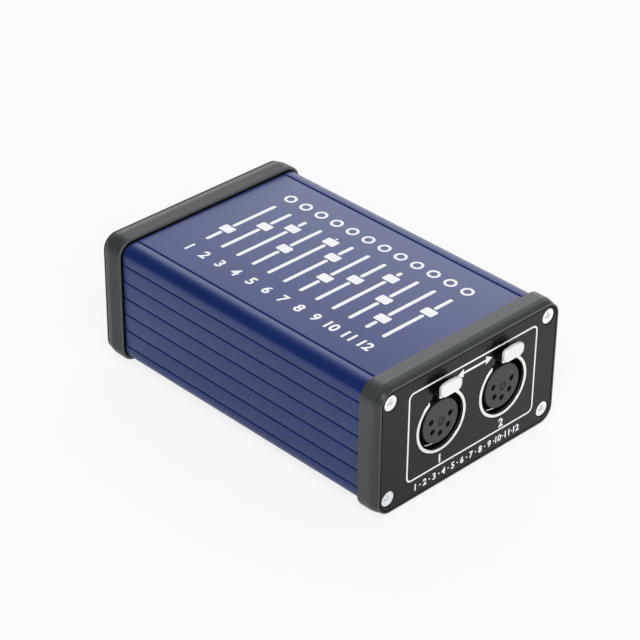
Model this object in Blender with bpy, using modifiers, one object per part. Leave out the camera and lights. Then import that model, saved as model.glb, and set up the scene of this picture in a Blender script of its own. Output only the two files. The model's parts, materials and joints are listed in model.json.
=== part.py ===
# Two-output USB lighting interface in an extruded aluminium case.
# Lengths are metres. X runs across the sockets, Y from the front panel to the rear, Z up.
# Everything hangs on one empty, the case datum: X = 0 and Y = 0 at the middle of the
# extrusion and Z = 0 at its underside. The sockets and the USB port have an empty each.

import math

import bmesh
import bpy

MM = 0.001

# Case: an extruded body with a slide-in belly plate
CASE_WIDTH = 78.0 * MM
CASE_HEIGHT = 43.6 * MM
CASE_LENGTH = 120.0 * MM
CASE_RADIUS = 4.6 * MM
WALL = 1.5 * MM
GAP = 0.25 * MM
TOP_GROOVE_X = 32.7 * MM
TOP_GROOVE_WIDTH = 0.9 * MM
SIDE_GROOVES = 6
SIDE_GROOVE_PITCH = 6.2 * MM
SIDE_GROOVE_LOWEST = 6.05 * MM
SIDE_GROOVE_WIDTH = 0.7 * MM
GROOVE_DEPTH = 0.4 * MM
SCREW_X = 35.06 * MM
SCREW_SPACING_Z = 35.06 * MM
SCREW_MIDDLE_Z = 22.1 * MM
BOSS_RADIUS = 2.9 * MM
BOSS_HOLE_RADIUS = 1.5 * MM
BELLY_HALF = 32.65 * MM
BELLY_THICK = 2.0 * MM
BELLY_TONGUE = 0.5 * MM
BELLY_TONGUE_REACH = 1.1 * MM

# Circuit board and the slots that hold it
BOARD_BOTTOM = 8.0 * MM
BOARD_THICK = 1.6 * MM
BOARD_HALF = 36.9 * MM
BOARD_LENGTH = 116.0 * MM
RIB_REACH = 35.4 * MM
RIB_THICK = 1.0 * MM
SLOT_HEIGHTS = (BOARD_BOTTOM, 21.3 * MM, 33.0 * MM)

# Bezels: plastic frames that lap 5 mm over the extrusion
BEZEL_LAP = 5.0 * MM
BEZEL_PROUD = 1.35 * MM
BEZEL_LIP = 3.5 * MM
BEZEL_LIP_INSIDE = 0.1 * MM
BEZEL_FLANGE = 2.6 * MM
BEZEL_TAB_RADIUS = 3.3 * MM

# End panels, set 0.3 mm behind the bezel's lip, with countersunk screws
PANEL_THICK = 1.2 * MM
PANEL_FACE = 3.2 * MM
PANEL_MARGIN = 0.6 * MM
SCREW_CLEARANCE_RADIUS = 1.7 * MM
SCREW_HEAD_RADIUS = 2.6 * MM
SCREW_SUNK = 0.22 * MM
SCREW_RIM = 0.15 * MM
SCREW_CONE = 1.35 * MM
SEAT_RADIUS = 2.95 * MM
SEAT_THROAT = 1.9 * MM
SCREW_SHANK_RADIUS = 1.2 * MM
SCREW_LENGTH = 11.0 * MM

# Feet
FOOT_RADIUS = 5.0 * MM
FOOT_HEIGHT = 2.05 * MM
FOOT_X = 26.0 * MM
FOOT_Y = 43.0 * MM

# Sockets, both a little above the case's mid height
SOCKET_PITCH = 27.84 * MM
SOCKET_OFFSET = 1.12 * MM
SOCKET_Z = 22.75 * MM
RING_RADIUS = 10.9 * MM
RING_PROUD = 0.15 * MM
BORE_RADIUS = 9.65 * MM
BORE_DEPTH = 15.0 * MM
BLOCK_HALF = 12.3 * MM
BLOCK_BELOW = 12.2 * MM
BLOCK_ABOVE = 17.0 * MM
BLOCK_BACK = 16.5 * MM
INSERT_RADIUS = 7.65 * MM
INSERT_RECESS = 0.15 * MM
SPIGOT_RADIUS = 5.9 * MM
INSERT_BACK = 19.0 * MM
CONTACT_CIRCLE = 4.35 * MM
CONTACT_ANGLES = (-105.7, -52.0, 0.0, 52.0, 105.7)
CONTACT_RADIUS = 1.0 * MM
TAIL_RADIUS = 0.35 * MM

# Latch lever: the tab in front, the pivot behind, the hook between them
LATCH_PIVOT_DEPTH = 10.5 * MM
LATCH_PIVOT_HEIGHT = 12.1 * MM
LATCH_THICK = 1.4 * MM
TAB_HALF = 4.45 * MM
TAB_LOW = 11.9 * MM
TAB_HIGH = 16.75 * MM
TAB_PROUD = 3.9 * MM
NECK_HALF = 3.9 * MM
SLOT_HALF = 5.6 * MM
SLOT_TOP = 16.0 * MM
PIN_RADIUS = 0.8 * MM
SPRING_DEPTH = 5.8 * MM
SPRING_RADIUS = 1.4 * MM
SPRING_WIRE = 0.2 * MM
SPRING_TURNS = 3.5

# USB port, type B
USB_WIDTH = 12.0 * MM
USB_HEIGHT = 11.0 * MM
USB_DEPTH = 16.0 * MM
USB_PROUD = 0.3 * MM
USB_MOUTH_WIDTH = 8.5 * MM
USB_MOUTH_HEIGHT = 7.8 * MM
USB_CHAMFER = 1.6 * MM
USB_SHEET = 0.45 * MM
USB_PIN_X = 1.25 * MM

BOARD_TOP = BOARD_BOTTOM + BOARD_THICK
PART_Z = BOARD_TOP + 0.3 * MM
CASE_END = CASE_LENGTH / 2
PANEL_Y = CASE_END + PANEL_FACE
LIP_Y = CASE_END + BEZEL_LIP
FOOT_BOTTOM = -GAP - FOOT_HEIGHT
USB_Z = PART_Z + USB_HEIGHT / 2
SCREW_ROWS = (SCREW_MIDDLE_Z - SCREW_SPACING_Z / 2, SCREW_MIDDLE_Z + SCREW_SPACING_Z / 2)

CUBE_SIDE = 1.0
MERGE = 1e-6


def clear_scene():
    for obj in list(bpy.data.objects):
        bpy.data.objects.remove(obj)


def new_collection(name):
    collection = bpy.data.collections.new(name)
    bpy.context.scene.collection.children.link(collection)
    return collection


def new_material(name, colour, roughness, metallic=0.0):
    material = bpy.data.materials.new(name)
    material.use_nodes = True
    shader = material.node_tree.nodes["Principled BSDF"]
    shader.inputs["Base Color"].default_value = (*colour, 1.0)
    shader.inputs["Roughness"].default_value = roughness
    shader.inputs["Metallic"].default_value = metallic
    return material


def datum(name, location, parent=None):
    """An empty that carries a group of pieces."""
    empty = bpy.data.objects.new(name, None)
    PARTS.objects.link(empty)
    empty.location = location
    empty.parent = parent
    return empty


def arc(cx, cy, radius, start, end, steps):
    """Points along an arc, both ends included, angles in degrees."""
    turns = [math.radians(start + (end - start) * i / steps) for i in range(steps + 1)]
    return [(cx + radius * math.cos(t), cy + radius * math.sin(t)) for t in turns]


def circle(cx, cy, radius, steps):
    return arc(cx, cy, radius, 0.0, 360.0 * (steps - 1) / steps, steps - 1)


def rounded_rect(x0, x1, y0, y1, radius, steps=6):
    return (
        arc(x1 - radius, y1 - radius, radius, 0, 90, steps)
        + arc(x0 + radius, y1 - radius, radius, 90, 180, steps)
        + arc(x0 + radius, y0 + radius, radius, 180, 270, steps)
        + arc(x1 - radius, y0 + radius, radius, 270, 360, steps)
    )


def mirrored(half):
    """A closed outline from its right half, which starts and ends on the middle line."""
    left = [(-x, y) for x, y in reversed(half) if abs(x) > MERGE]
    return half + left


def flat_curve(name, outlines):
    data = bpy.data.curves.new(name, "CURVE")
    data.dimensions = "2D"
    for outline in outlines:
        spline = data.splines.new("POLY")
        spline.points.add(len(outline) - 1)
        for point, (u, v) in zip(spline.points, outline):
            point.co = (u, v, 0.0, 1.0)
        spline.use_cyclic_u = True
    return data


def cleaned(mesh):
    """Doubles merged and every face pointing out."""
    work = bmesh.new()
    work.from_mesh(mesh)
    bmesh.ops.remove_doubles(work, verts=work.verts, dist=MERGE)
    bmesh.ops.recalc_face_normals(work, faces=work.faces)
    work.to_mesh(mesh)
    work.free()
    return mesh


def evaluated_mesh(obj):
    bpy.context.view_layer.update()
    graph = bpy.context.evaluated_depsgraph_get()
    return cleaned(bpy.data.meshes.new_from_object(obj.evaluated_get(graph)))


def place(name, mesh, material, parent, location=(0, 0, 0), rotation=(0, 0, 0)):
    """A named piece in the parts collection."""
    obj = bpy.data.objects.new(name, mesh)
    PARTS.objects.link(obj)
    if material and not mesh.materials:
        mesh.materials.append(material)
    obj.parent = parent
    obj.location = location
    obj.rotation_euler = rotation
    mesh.shade_smooth()
    mesh.set_sharp_from_angle(angle=math.radians(35))
    return obj


def mesh_from_guide(guide):
    """A curve or a modified object made a plain mesh in its own place, and the guide removed."""
    CUTTERS.objects.link(guide)
    mesh = evaluated_mesh(guide)
    mesh.transform(guide.matrix_world)
    bpy.data.objects.remove(guide)
    return mesh


# Outline axes: along Y an outline is (x, z), along Z it is (x, y), along X it is (y, z).
TURN = {
    "X": (math.pi / 2, 0.0, math.pi / 2),
    "Y": (math.pi / 2, 0.0, 0.0),
    "Z": (0.0, 0.0, 0.0),
}


def prism(name, outlines, low, high, along):
    """A flat outline with its holes, carried from low to high along one axis."""
    data = flat_curve(name, outlines)
    data.fill_mode = "BOTH"
    data.extrude = (high - low) / 2
    guide = bpy.data.objects.new(name, data)
    guide.rotation_euler = TURN[along]
    guide.location["XYZ".index(along)] = (high + low) / 2
    return mesh_from_guide(guide)


def swept_frame(name, path, profile):
    """A closed profile of (inward, forward) points carried round an outline in the XZ plane."""
    section = bpy.data.objects.new(name + "_section", flat_curve(name, [profile]))
    CUTTERS.objects.link(section)
    data = flat_curve(name, [path])
    data.bevel_mode = "OBJECT"
    data.bevel_object = section
    guide = bpy.data.objects.new(name, data)
    guide.rotation_euler = TURN["Y"]
    mesh = mesh_from_guide(guide)
    bpy.data.objects.remove(section)
    return mesh


def turned(name, profile, steps):
    """A profile of (radius, forward) points turned about the Y axis, forward being -Y."""
    mesh = bpy.data.meshes.new(name)
    points = [(radius, 0.0, forward) for radius, forward in profile]
    mesh.from_pydata(points, [(i, i + 1) for i in range(len(points) - 1)], [])
    guide = bpy.data.objects.new(name, mesh)
    screw = guide.modifiers.new("turn", "SCREW")
    screw.steps = steps
    screw.render_steps = steps
    screw.use_merge_vertices = True
    screw.merge_threshold = MERGE
    guide.rotation_euler = TURN["Y"]
    return mesh_from_guide(guide)


def box(name, low, high):
    """A rectangular block between two corners."""
    work = bmesh.new()
    bmesh.ops.create_cube(work, size=CUBE_SIDE)
    for vert in work.verts:
        for axis in range(3):
            vert.co[axis] = high[axis] if vert.co[axis] > 0 else low[axis]
    mesh = bpy.data.meshes.new(name)
    work.to_mesh(mesh)
    work.free()
    return mesh


def rod(name, radius, low, high, centre, along, steps=16):
    """A round bar from low to high along an axis, centred on the other two coordinates."""
    return prism(name, [circle(centre[0], centre[1], radius, steps)], low, high, along)


def combined(name, base, joined=(), cut=()):
    """One mesh from a base, with meshes joined to it and then others cut from it."""
    guide = bpy.data.objects.new(name, base)
    helpers = []
    for operation, meshes in (("UNION", joined), ("DIFFERENCE", cut)):
        for mesh in meshes:
            helper = bpy.data.objects.new(name + "_tool", mesh)
            helper.hide_render = True
            helper.display_type = "WIRE"
            CUTTERS.objects.link(helper)
            helpers.append(helper)
            boolean = guide.modifiers.new(operation.lower(), "BOOLEAN")
            boolean.operation = operation
            boolean.solver = "EXACT"
            boolean.object = helper
    mesh = mesh_from_guide(guide)
    for helper in helpers:
        bpy.data.objects.remove(helper)
    return mesh


def side_grooves():
    """The flank's grooves from the top one down, each a shallow V."""
    half = CASE_WIDTH / 2
    points = []
    for row in reversed(range(SIDE_GROOVES)):
        z = SIDE_GROOVE_LOWEST + row * SIDE_GROOVE_PITCH
        upper = z + SIDE_GROOVE_WIDTH / 2
        lower = z - SIDE_GROOVE_WIDTH / 2
        points += [(half, upper), (half - GROOVE_DEPTH, z), (half, lower)]
    return points


def board_slots():
    """Ribs on the inner wall, from the bottom up, with a slot between each pair."""
    wall = CASE_WIDTH / 2 - WALL
    points = []
    for bottom in SLOT_HEIGHTS:
        low = bottom - GAP
        high = bottom + BOARD_THICK + GAP
        points += [(wall, low - RIB_THICK), (RIB_REACH, low - RIB_THICK), (RIB_REACH, low), (wall, low)]
        points += [(wall, high), (RIB_REACH, high), (RIB_REACH, high + RIB_THICK), (wall, high + RIB_THICK)]
    return points


def case_outline():
    """The extrusion's section: a channel open at the bottom, between the belly plate's slots."""
    half = CASE_WIDTH / 2
    inner = half - WALL
    ceiling = CASE_HEIGHT - WALL
    low_z, high_z = SCREW_ROWS
    across = half - CASE_RADIUS
    lip = BELLY_HALF + GAP
    tongue_low = BELLY_THICK - BELLY_TONGUE - GAP
    tongue_high = BELLY_THICK + GAP
    tongue_end = BELLY_HALF + BELLY_TONGUE_REACH + GAP
    groove = TOP_GROOVE_WIDTH / 2

    outside = [(0.0, CASE_HEIGHT), (TOP_GROOVE_X - groove, CASE_HEIGHT)]
    outside += [(TOP_GROOVE_X, CASE_HEIGHT - GROOVE_DEPTH), (TOP_GROOVE_X + groove, CASE_HEIGHT)]
    outside += arc(across, CASE_HEIGHT - CASE_RADIUS, CASE_RADIUS, 90, 0, 8)
    outside += side_grooves()
    outside += arc(across, CASE_RADIUS, CASE_RADIUS, 0, -90, 8)

    # The lower boss is met at the slot's roof and left at the first rib.
    meet = math.degrees(math.asin((low_z - tongue_high) / BOSS_RADIUS))
    inside = [(lip, 0.0), (lip, tongue_low), (tongue_end, tongue_low), (tongue_end, tongue_high)]
    inside += arc(SCREW_X, low_z, BOSS_RADIUS, 180 + meet, 90, 7)
    inside += board_slots()[2:]
    side = math.degrees(math.acos((inner - SCREW_X) / BOSS_RADIUS))
    roof = math.degrees(math.asin((ceiling - high_z) / BOSS_RADIUS))
    inside += arc(SCREW_X, high_z, BOSS_RADIUS, -side, -180 - roof, 9)
    inside += [(0.0, ceiling)]
    return mirrored(outside + inside)


def screw_places():
    """Names and (x, z) of the four screws of one end."""
    names = ("low_left", "low_right", "high_left", "high_right")
    spots = [(x, z) for z in SCREW_ROWS for x in (-SCREW_X, SCREW_X)]
    return list(zip(names, spots))


def make_case():
    holes = [circle(x, z, BOSS_HOLE_RADIUS, 12) for _, (x, z) in screw_places()]
    mesh = prism("case_extrusion", [case_outline()] + holes, -CASE_END, CASE_END, "Y")
    place("case_extrusion", mesh, BLUE, CASE)
    reach = BELLY_HALF + BELLY_TONGUE_REACH
    step = BELLY_THICK - BELLY_TONGUE
    half = [(0.0, BELLY_THICK), (reach, BELLY_THICK), (reach, step)]
    half += [(BELLY_HALF, step), (BELLY_HALF, 0.0), (0.0, 0.0)]
    plate = prism("belly_plate", [mirrored(half)], -CASE_END, CASE_END, "Y")
    place("belly_plate", plate, BLUE, CASE)


def bezel_profile():
    """(inward, forward) points of the bezel's section, forward measured from the extrusion's end."""
    soft = 0.3 * MM
    back = PANEL_FACE - PANEL_THICK - GAP
    return [
        (soft - BEZEL_PROUD, -BEZEL_LAP),
        (-BEZEL_PROUD, soft - BEZEL_LAP),
        (-BEZEL_PROUD, 0.0),
        (-1.1 * MM, 2.0 * MM),
        (-0.58 * MM, BEZEL_LIP),
        (-BEZEL_LIP_INSIDE, BEZEL_LIP),
        (-BEZEL_LIP_INSIDE, back),
        (BEZEL_FLANGE, back),
        (BEZEL_FLANGE, GAP),
        (-GAP, GAP),
        (-GAP, -BEZEL_LAP),
    ]


def bezel_mesh():
    half = CASE_WIDTH / 2
    path = rounded_rect(-half, half, 0.0, CASE_HEIGHT, CASE_RADIUS, 6)
    frame = swept_frame("bezel", path, bezel_profile())
    inset = 0.06 * MM
    tab_front = inset - (PANEL_FACE - PANEL_THICK - GAP)
    tab_back = -GAP - inset
    tabs = []
    holes = []
    for _, (x, z) in screw_places():
        tabs.append(rod("tab", BEZEL_TAB_RADIUS, tab_front, tab_back, (x, z), "Y", 16))
        holes.append(rod("hole", SCREW_CLEARANCE_RADIUS, -BEZEL_LIP, BEZEL_LIP, (x, z), "Y", 12))
    return combined("bezel", frame, tabs, holes)


def end_places():
    """The two ends: a name, the Y of the extrusion's end and the turn that faces it outwards."""
    return (("front", -CASE_END, 0.0), ("rear", CASE_END, math.pi))


def make_bezels():
    mesh = bezel_mesh()
    for end, y, turn in end_places():
        place(end + "_bezel", mesh, BEZEL_PLASTIC, CASE, (0, y, 0), (0, 0, turn))


def panel_outline():
    half = CASE_WIDTH / 2 - PANEL_MARGIN
    radius = CASE_RADIUS - PANEL_MARGIN
    return rounded_rect(-half, half, PANEL_MARGIN, CASE_HEIGHT - PANEL_MARGIN, radius, 6)


def socket_cutout(x, z):
    """A round hole with a notch above it for the latch's neck."""
    radius = RING_RADIUS + GAP
    notch = NECK_HALF + 0.5 * MM
    open_angle = math.degrees(math.asin(notch / radius))
    lift = LATCH_PIVOT_HEIGHT + LATCH_THICK / 2 + 1.9 * MM
    round_part = arc(x, z, radius, 90 - open_angle, open_angle - 270, 40)
    return round_part + [(x - notch, z + lift), (x + notch, z + lift)]


def usb_outline(margin):
    half = USB_WIDTH / 2 + margin
    rise = USB_HEIGHT / 2 + margin
    return rounded_rect(-half, half, USB_Z - rise, USB_Z + rise, 0.6 * MM, 3)


def countersinks(sign):
    """Cutters for a panel's four screw seats, sign being 1 for the front panel and -1 for the rear."""
    rim = PANEL_Y - SCREW_SUNK - SCREW_RIM
    throat = rim - (SEAT_RADIUS - SEAT_THROAT)
    profile = [
        (0.0, sign * (PANEL_Y + MM)),
        (SEAT_RADIUS, sign * (PANEL_Y + MM)),
        (SEAT_RADIUS, sign * rim),
        (SEAT_THROAT, sign * throat),
        (SEAT_THROAT, sign * (throat - MM)),
        (0.0, sign * (throat - MM)),
    ]
    cutters = []
    for _, (x, z) in screw_places():
        cutter = turned("seat", profile, 20)
        for vert in cutter.vertices:
            vert.co.x += x
            vert.co.z += z
        cutters.append(cutter)
    return cutters


def panel_mesh(name, low, high, openings, sign):
    """A panel from low to high along Y, cut by its openings' outlines and its screws' seats."""
    plate = prism(name, [panel_outline()], low, high, "Y")
    cuts = [prism("opening", [outline], low - MM, high + MM, "Y") for outline in openings]
    return combined(name, plate, (), cuts + countersinks(sign))


def make_panels():
    sockets = [socket_cutout(x, SOCKET_Z) for _, x in socket_places()]
    front = panel_mesh("front_panel", -PANEL_Y, PANEL_THICK - PANEL_Y, sockets, 1)
    place("front_panel", front, PANEL_BLACK, CASE)
    port = usb_outline(0.3 * MM)
    rear = panel_mesh("rear_panel", PANEL_Y - PANEL_THICK, PANEL_Y, [port], -1)
    place("rear_panel", rear, PANEL_BLACK, CASE)


def screw_mesh():
    """A countersunk screw with a cross recess, forward = 0 being the panel's face."""
    top = -SCREW_SUNK
    tip = top - SCREW_LENGTH
    profile = [
        (0.0, top),
        (SCREW_HEAD_RADIUS, top),
        (SCREW_HEAD_RADIUS, top - SCREW_RIM),
        (SCREW_SHANK_RADIUS, top - SCREW_RIM - SCREW_CONE),
        (SCREW_SHANK_RADIUS, tip + 1.0 * MM),
        (0.0, tip),
    ]
    body = turned("screw", profile, 16)
    long, short, floor = 1.45 * MM, 0.3 * MM, 1.15 * MM
    bars = [
        box("slot", (-long, -MM, -short), (long, floor, short)),
        box("slot", (-short, -MM, -long), (short, floor, long)),
    ]
    return combined("screw", body, (), bars)


def make_screws():
    mesh = screw_mesh()
    for end, y, turn in end_places():
        face = y + math.copysign(PANEL_FACE, y)
        for corner, (x, z) in screw_places():
            place(f"{end}_screw_{corner}", mesh, ZINC, CASE, (x, face, z), (0, 0, turn))


def make_feet():
    """Round rubber feet stuck under the belly plate."""
    radius = FOOT_RADIUS
    profile = [
        (0.0, FOOT_HEIGHT),
        (radius - 0.2 * MM, FOOT_HEIGHT),
        (radius, FOOT_HEIGHT - 0.3 * MM),
        (radius - 0.6 * MM, 0.25 * MM),
        (radius - 0.9 * MM, 0.0),
        (0.0, 0.0),
    ]
    mesh = turned("foot", profile, 20)
    for end, y in (("front", -FOOT_Y), ("rear", FOOT_Y)):
        for side, x in (("left", -FOOT_X), ("right", FOOT_X)):
            place(f"foot_{end}_{side}", mesh, RUBBER, CASE, (x, y, FOOT_BOTTOM), (-math.pi / 2, 0, 0))


def socket_places():
    return (("a", SOCKET_OFFSET - SOCKET_PITCH / 2), ("b", SOCKET_OFFSET + SOCKET_PITCH / 2))


# Socket pieces are modelled about the socket's own axis, with Y = 0 at the panel's face
# and Y growing into the case.


def socket_shell_mesh():
    """A cast block behind the panel with a round collar through it, bored for the plug."""
    front = PANEL_THICK + GAP
    block = prism(
        "shell",
        [rounded_rect(-BLOCK_HALF, BLOCK_HALF, -BLOCK_BELOW, BLOCK_ABOVE, 1.0 * MM, 3)],
        front,
        BLOCK_BACK,
        "Y",
    )
    edge = 0.25 * MM
    collar_profile = [
        (0.0, RING_PROUD),
        (RING_RADIUS - edge, RING_PROUD),
        (RING_RADIUS, RING_PROUD - edge),
        (RING_RADIUS, -front - MM),
        (0.0, -front - MM),
    ]
    collar = turned("collar", collar_profile, 60)
    bore = rod("bore", BORE_RADIUS, -MM, BORE_DEPTH, (0, 0), "Y", 60)
    spigot = SPIGOT_RADIUS + 0.3 * MM
    back_hole = rod("back_hole", spigot, BORE_DEPTH - MM, BLOCK_BACK + MM, (0, 0), "Y", 32)
    slot_floor = 6.0 * MM
    slot_end = LATCH_PIVOT_DEPTH + 2.5 * MM
    slot = box("slot", (-SLOT_HALF, -MM, slot_floor), (SLOT_HALF, slot_end, SLOT_TOP))
    pin_reach = SLOT_HALF + 2.6 * MM
    pivot = (LATCH_PIVOT_DEPTH, LATCH_PIVOT_HEIGHT)
    pin_hole = rod("pin_hole", PIN_RADIUS + 0.2 * MM, -pin_reach, pin_reach, pivot, "X")
    return combined("shell", block, [collar], [bore, back_hole, slot, pin_hole])


def contact_spots():
    """(x, z) of the five contacts, counted round from the left, 0 degrees being straight down."""
    turns = [math.radians(angle - 90.0) for angle in CONTACT_ANGLES]
    return [(CONTACT_CIRCLE * math.cos(t), CONTACT_CIRCLE * math.sin(t)) for t in turns]


def insert_mesh():
    """The moulded insert, with a lead-in and a wider bore for each contact."""
    face = -INSERT_RECESS
    shoulder = -(BORE_DEPTH - 0.3 * MM)
    rim = 0.5 * MM
    profile = [
        (0.0, face),
        (INSERT_RADIUS - rim, face),
        (INSERT_RADIUS, face - rim),
        (INSERT_RADIUS, shoulder),
        (SPIGOT_RADIUS, shoulder),
        (SPIGOT_RADIUS, -INSERT_BACK),
        (0.0, -INSERT_BACK),
    ]
    body = turned("insert", profile, 36)
    throat = 2.0 * MM
    cuts = []
    for x, z in contact_spots():
        cuts.append(rod("lead_in", 0.8 * MM, -MM, throat + 0.1 * MM, (x, z), "Y", 10))
        cuts.append(rod("contact_bore", 1.35 * MM, throat, INSERT_BACK + MM, (x, z), "Y", 10))
    return combined("insert", body, (), cuts)


def tube(name, points, radius, resolution=1):
    """A round wire along a list of points."""
    data = bpy.data.curves.new(name, "CURVE")
    data.dimensions = "3D"
    data.bevel_depth = radius
    data.bevel_resolution = resolution
    data.use_fill_caps = True
    spline = data.splines.new("POLY")
    spline.points.add(len(points) - 1)
    for point, place_at in zip(spline.points, points):
        point.co = (*place_at, 1.0)
    return mesh_from_guide(bpy.data.objects.new(name, data))


def contact_mesh(x, z, tail_depth):
    """A turned female contact whose tail bends down through the board."""
    front, back = 2.4 * MM, 18.0 * MM
    radius = CONTACT_RADIUS
    profile = [
        (0.0, -9.0 * MM),
        (0.55 * MM, -9.0 * MM),
        (0.55 * MM, -front),
        (radius - 0.15 * MM, -front),
        (radius, -front - 0.3 * MM),
        (radius, -back),
        (0.0, -back),
    ]
    sleeve = turned("sleeve", profile, 10)
    drop = BOARD_BOTTOM - 0.5 * MM - SOCKET_Z - z
    bend = 1.0 * MM
    start = back - 0.5 * MM
    lead = [(0, start, 0), (0, tail_depth - bend, 0)]
    knee = [(0, y, z) for y, z in arc(tail_depth - bend, -bend, bend, 60, 0, 2)]
    tail = tube("tail", lead + knee + [(0, tail_depth, drop)], TAIL_RADIUS)
    return combined("contact", sleeve, [tail])


def tail_depth_of(index):
    """The upper pair's tails stand behind the lower three."""
    return (22.6 if index in (0, 4) else 20.6) * MM


def leaf_mesh():
    """The earth leaf that touches the plug's shell, low on the left of the gap."""
    outer = arc(0, 0, 9.35 * MM, 235, 263, 5)
    inner = arc(0, 0, 9.05 * MM, 263, 235, 5)
    return prism("leaf", [outer + inner], 1.5 * MM, BORE_DEPTH - 0.3 * MM, "Y")


def latch_mesh():
    """The lever: tab, neck, hook and the barrel that turns on the pin."""
    low = LATCH_PIVOT_HEIGHT - LATCH_THICK / 2
    high = LATCH_PIVOT_HEIGHT + LATCH_THICK / 2
    arch = 14.0 * MM
    crown = math.degrees(math.asin((TAB_HALF - 1.2 * MM) / arch))
    top = arc(0, TAB_HIGH - arch, arch, 90 - crown, 90 + crown, 6)
    radius = 1.5 * MM
    bottom = arc(-TAB_HALF + radius, TAB_LOW + radius, radius, 180, 270, 4)
    bottom += arc(TAB_HALF - radius, TAB_LOW + radius, radius, 270, 360, 4)
    shoulder = TAB_HIGH - 1.4 * MM
    outline = top + [(-TAB_HALF, shoulder)] + bottom + [(TAB_HALF, shoulder)]
    tab = prism("tab", [outline], -TAB_PROUD, LATCH_THICK - TAB_PROUD, "Y")
    neck_start = LATCH_THICK - TAB_PROUD - 0.5 * MM
    neck = box("neck", (-NECK_HALF, neck_start, low), (NECK_HALF, LATCH_PIVOT_DEPTH, high))
    hook_low = 8.7 * MM
    hook_front = 2.2 * MM
    hook_half = 2.2 * MM
    hook_top = low + 0.5 * MM
    hook = [(hook_front, hook_top), (hook_front, hook_low), (3.6 * MM, hook_low), (6.0 * MM, hook_top)]
    claw = prism("hook", [hook], -hook_half, hook_half, "X")
    centre = (LATCH_PIVOT_DEPTH, LATCH_PIVOT_HEIGHT)
    half = SLOT_HALF - 0.4 * MM
    barrel = rod("barrel", 1.8 * MM, -half, half, centre, "X", 20)
    pin_hole = rod("pin_hole", PIN_RADIUS + 0.15 * MM, -SLOT_HALF, SLOT_HALF, centre, "X")
    return combined("latch", tab, [neck, claw, barrel], [pin_hole])


def spring_mesh():
    """The return spring between the lever's neck and the roof of its slot."""
    bottom = LATCH_PIVOT_HEIGHT + LATCH_THICK / 2 + GAP + SPRING_WIRE
    top = SLOT_TOP - GAP - SPRING_WIRE
    steps = int(8 * SPRING_TURNS)
    points = []
    for step in range(steps + 1):
        turn = 2 * math.pi * SPRING_TURNS * step / steps
        x = SPRING_RADIUS * math.cos(turn)
        y = SPRING_DEPTH + SPRING_RADIUS * math.sin(turn)
        points.append((x, y, bottom + (top - bottom) * step / steps))
    return tube("spring", points, SPRING_WIRE)


def make_sockets():
    shell = socket_shell_mesh()
    insert = insert_mesh()
    contacts = [contact_mesh(x, z, tail_depth_of(i)) for i, (x, z) in enumerate(contact_spots())]
    leaf = leaf_mesh()
    latch = latch_mesh()
    pin_reach = SLOT_HALF + 2.3 * MM
    pin = rod("pin", PIN_RADIUS, -pin_reach, pin_reach, (0, 0), "X")
    spring = spring_mesh()
    for letter, x in socket_places():
        axis = datum(f"socket_{letter}", (x, -PANEL_Y, SOCKET_Z), CASE)
        pivot = datum(f"latch_{letter}_pivot", (0, LATCH_PIVOT_DEPTH, LATCH_PIVOT_HEIGHT), axis)
        place(f"socket_shell_{letter}", shell, NICKEL, axis)
        place(f"socket_insert_{letter}", insert, INSERT_PLASTIC, axis)
        place(f"earth_leaf_{letter}", leaf, NICKEL, axis)
        for number, ((cx, cz), mesh) in enumerate(zip(contact_spots(), contacts), 1):
            place(f"contact_{letter}{number}", mesh, BRASS, axis, (cx, 0, cz))
        place(f"latch_lever_{letter}", latch, NICKEL, pivot, (0, -LATCH_PIVOT_DEPTH, -LATCH_PIVOT_HEIGHT))
        place(f"latch_pin_{letter}", pin, STEEL, pivot)
        place(f"latch_spring_{letter}", spring, STEEL, axis)


def board_holes():
    """Every hole in the board: the sockets' tails, the port's pins and its two legs."""
    holes = []
    for _, socket_x in socket_places():
        for index, (x, _) in enumerate(contact_spots()):
            holes.append(circle(socket_x + x, tail_depth_of(index) - PANEL_Y, 0.6 * MM, 8))
    for x, y in usb_pin_spots():
        holes.append(circle(x, y, 0.7 * MM, 8))
    for side in (-1, 1):
        holes.append(circle(side * usb_leg_x(), usb_leg_y(), 1.3 * MM, 12))
    return holes


def make_board():
    half = BOARD_LENGTH / 2
    outline = rounded_rect(-BOARD_HALF, BOARD_HALF, -half, half, 0.8 * MM, 2)
    mesh = prism("circuit_board", [outline] + board_holes(), BOARD_BOTTOM, BOARD_TOP, "Z")
    place("circuit_board", mesh, BOARD_GREEN, CASE)


def chip_mesh(name, length, width, height, legs, pitch):
    """A moulded chip with gull-wing legs along its two long sides."""
    body = box(name, (-width / 2, -length / 2, 0.15 * MM), (width / 2, length / 2, height))
    reach = width / 2 + 1.3 * MM
    knee = width / 2 + 0.5 * MM
    top, foot = height / 2, 0.2 * MM
    inner = width / 2 - 0.3 * MM
    joined = []
    for side in (-1, 1):
        for leg in range(legs):
            y = (leg - (legs - 1) / 2) * pitch
            line = [(inner, top + foot), (knee, top + foot), (reach, foot)]
            line += [(reach, 0.0), (knee, 0.0), (inner, top)]
            outline = [(side * x, z) for x, z in line]
            joined.append(prism("leg", [outline], y - 0.2 * MM, y + 0.2 * MM, "Y"))
    return combined(name, body, joined)


def can_mesh():
    """An electrolytic capacitor's can with its crimp near the base."""
    radius, height, crimp = 3.15 * MM, 11.0 * MM, 0.35 * MM
    profile = [
        (0.0, height),
        (radius - 0.5 * MM, height),
        (radius, height - 0.5 * MM),
        (radius, 2.2 * MM),
        (radius - crimp, 1.7 * MM),
        (radius, 1.2 * MM),
        (radius, 0.0),
        (0.0, 0.0),
    ]
    return turned("can", profile, 16)


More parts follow.
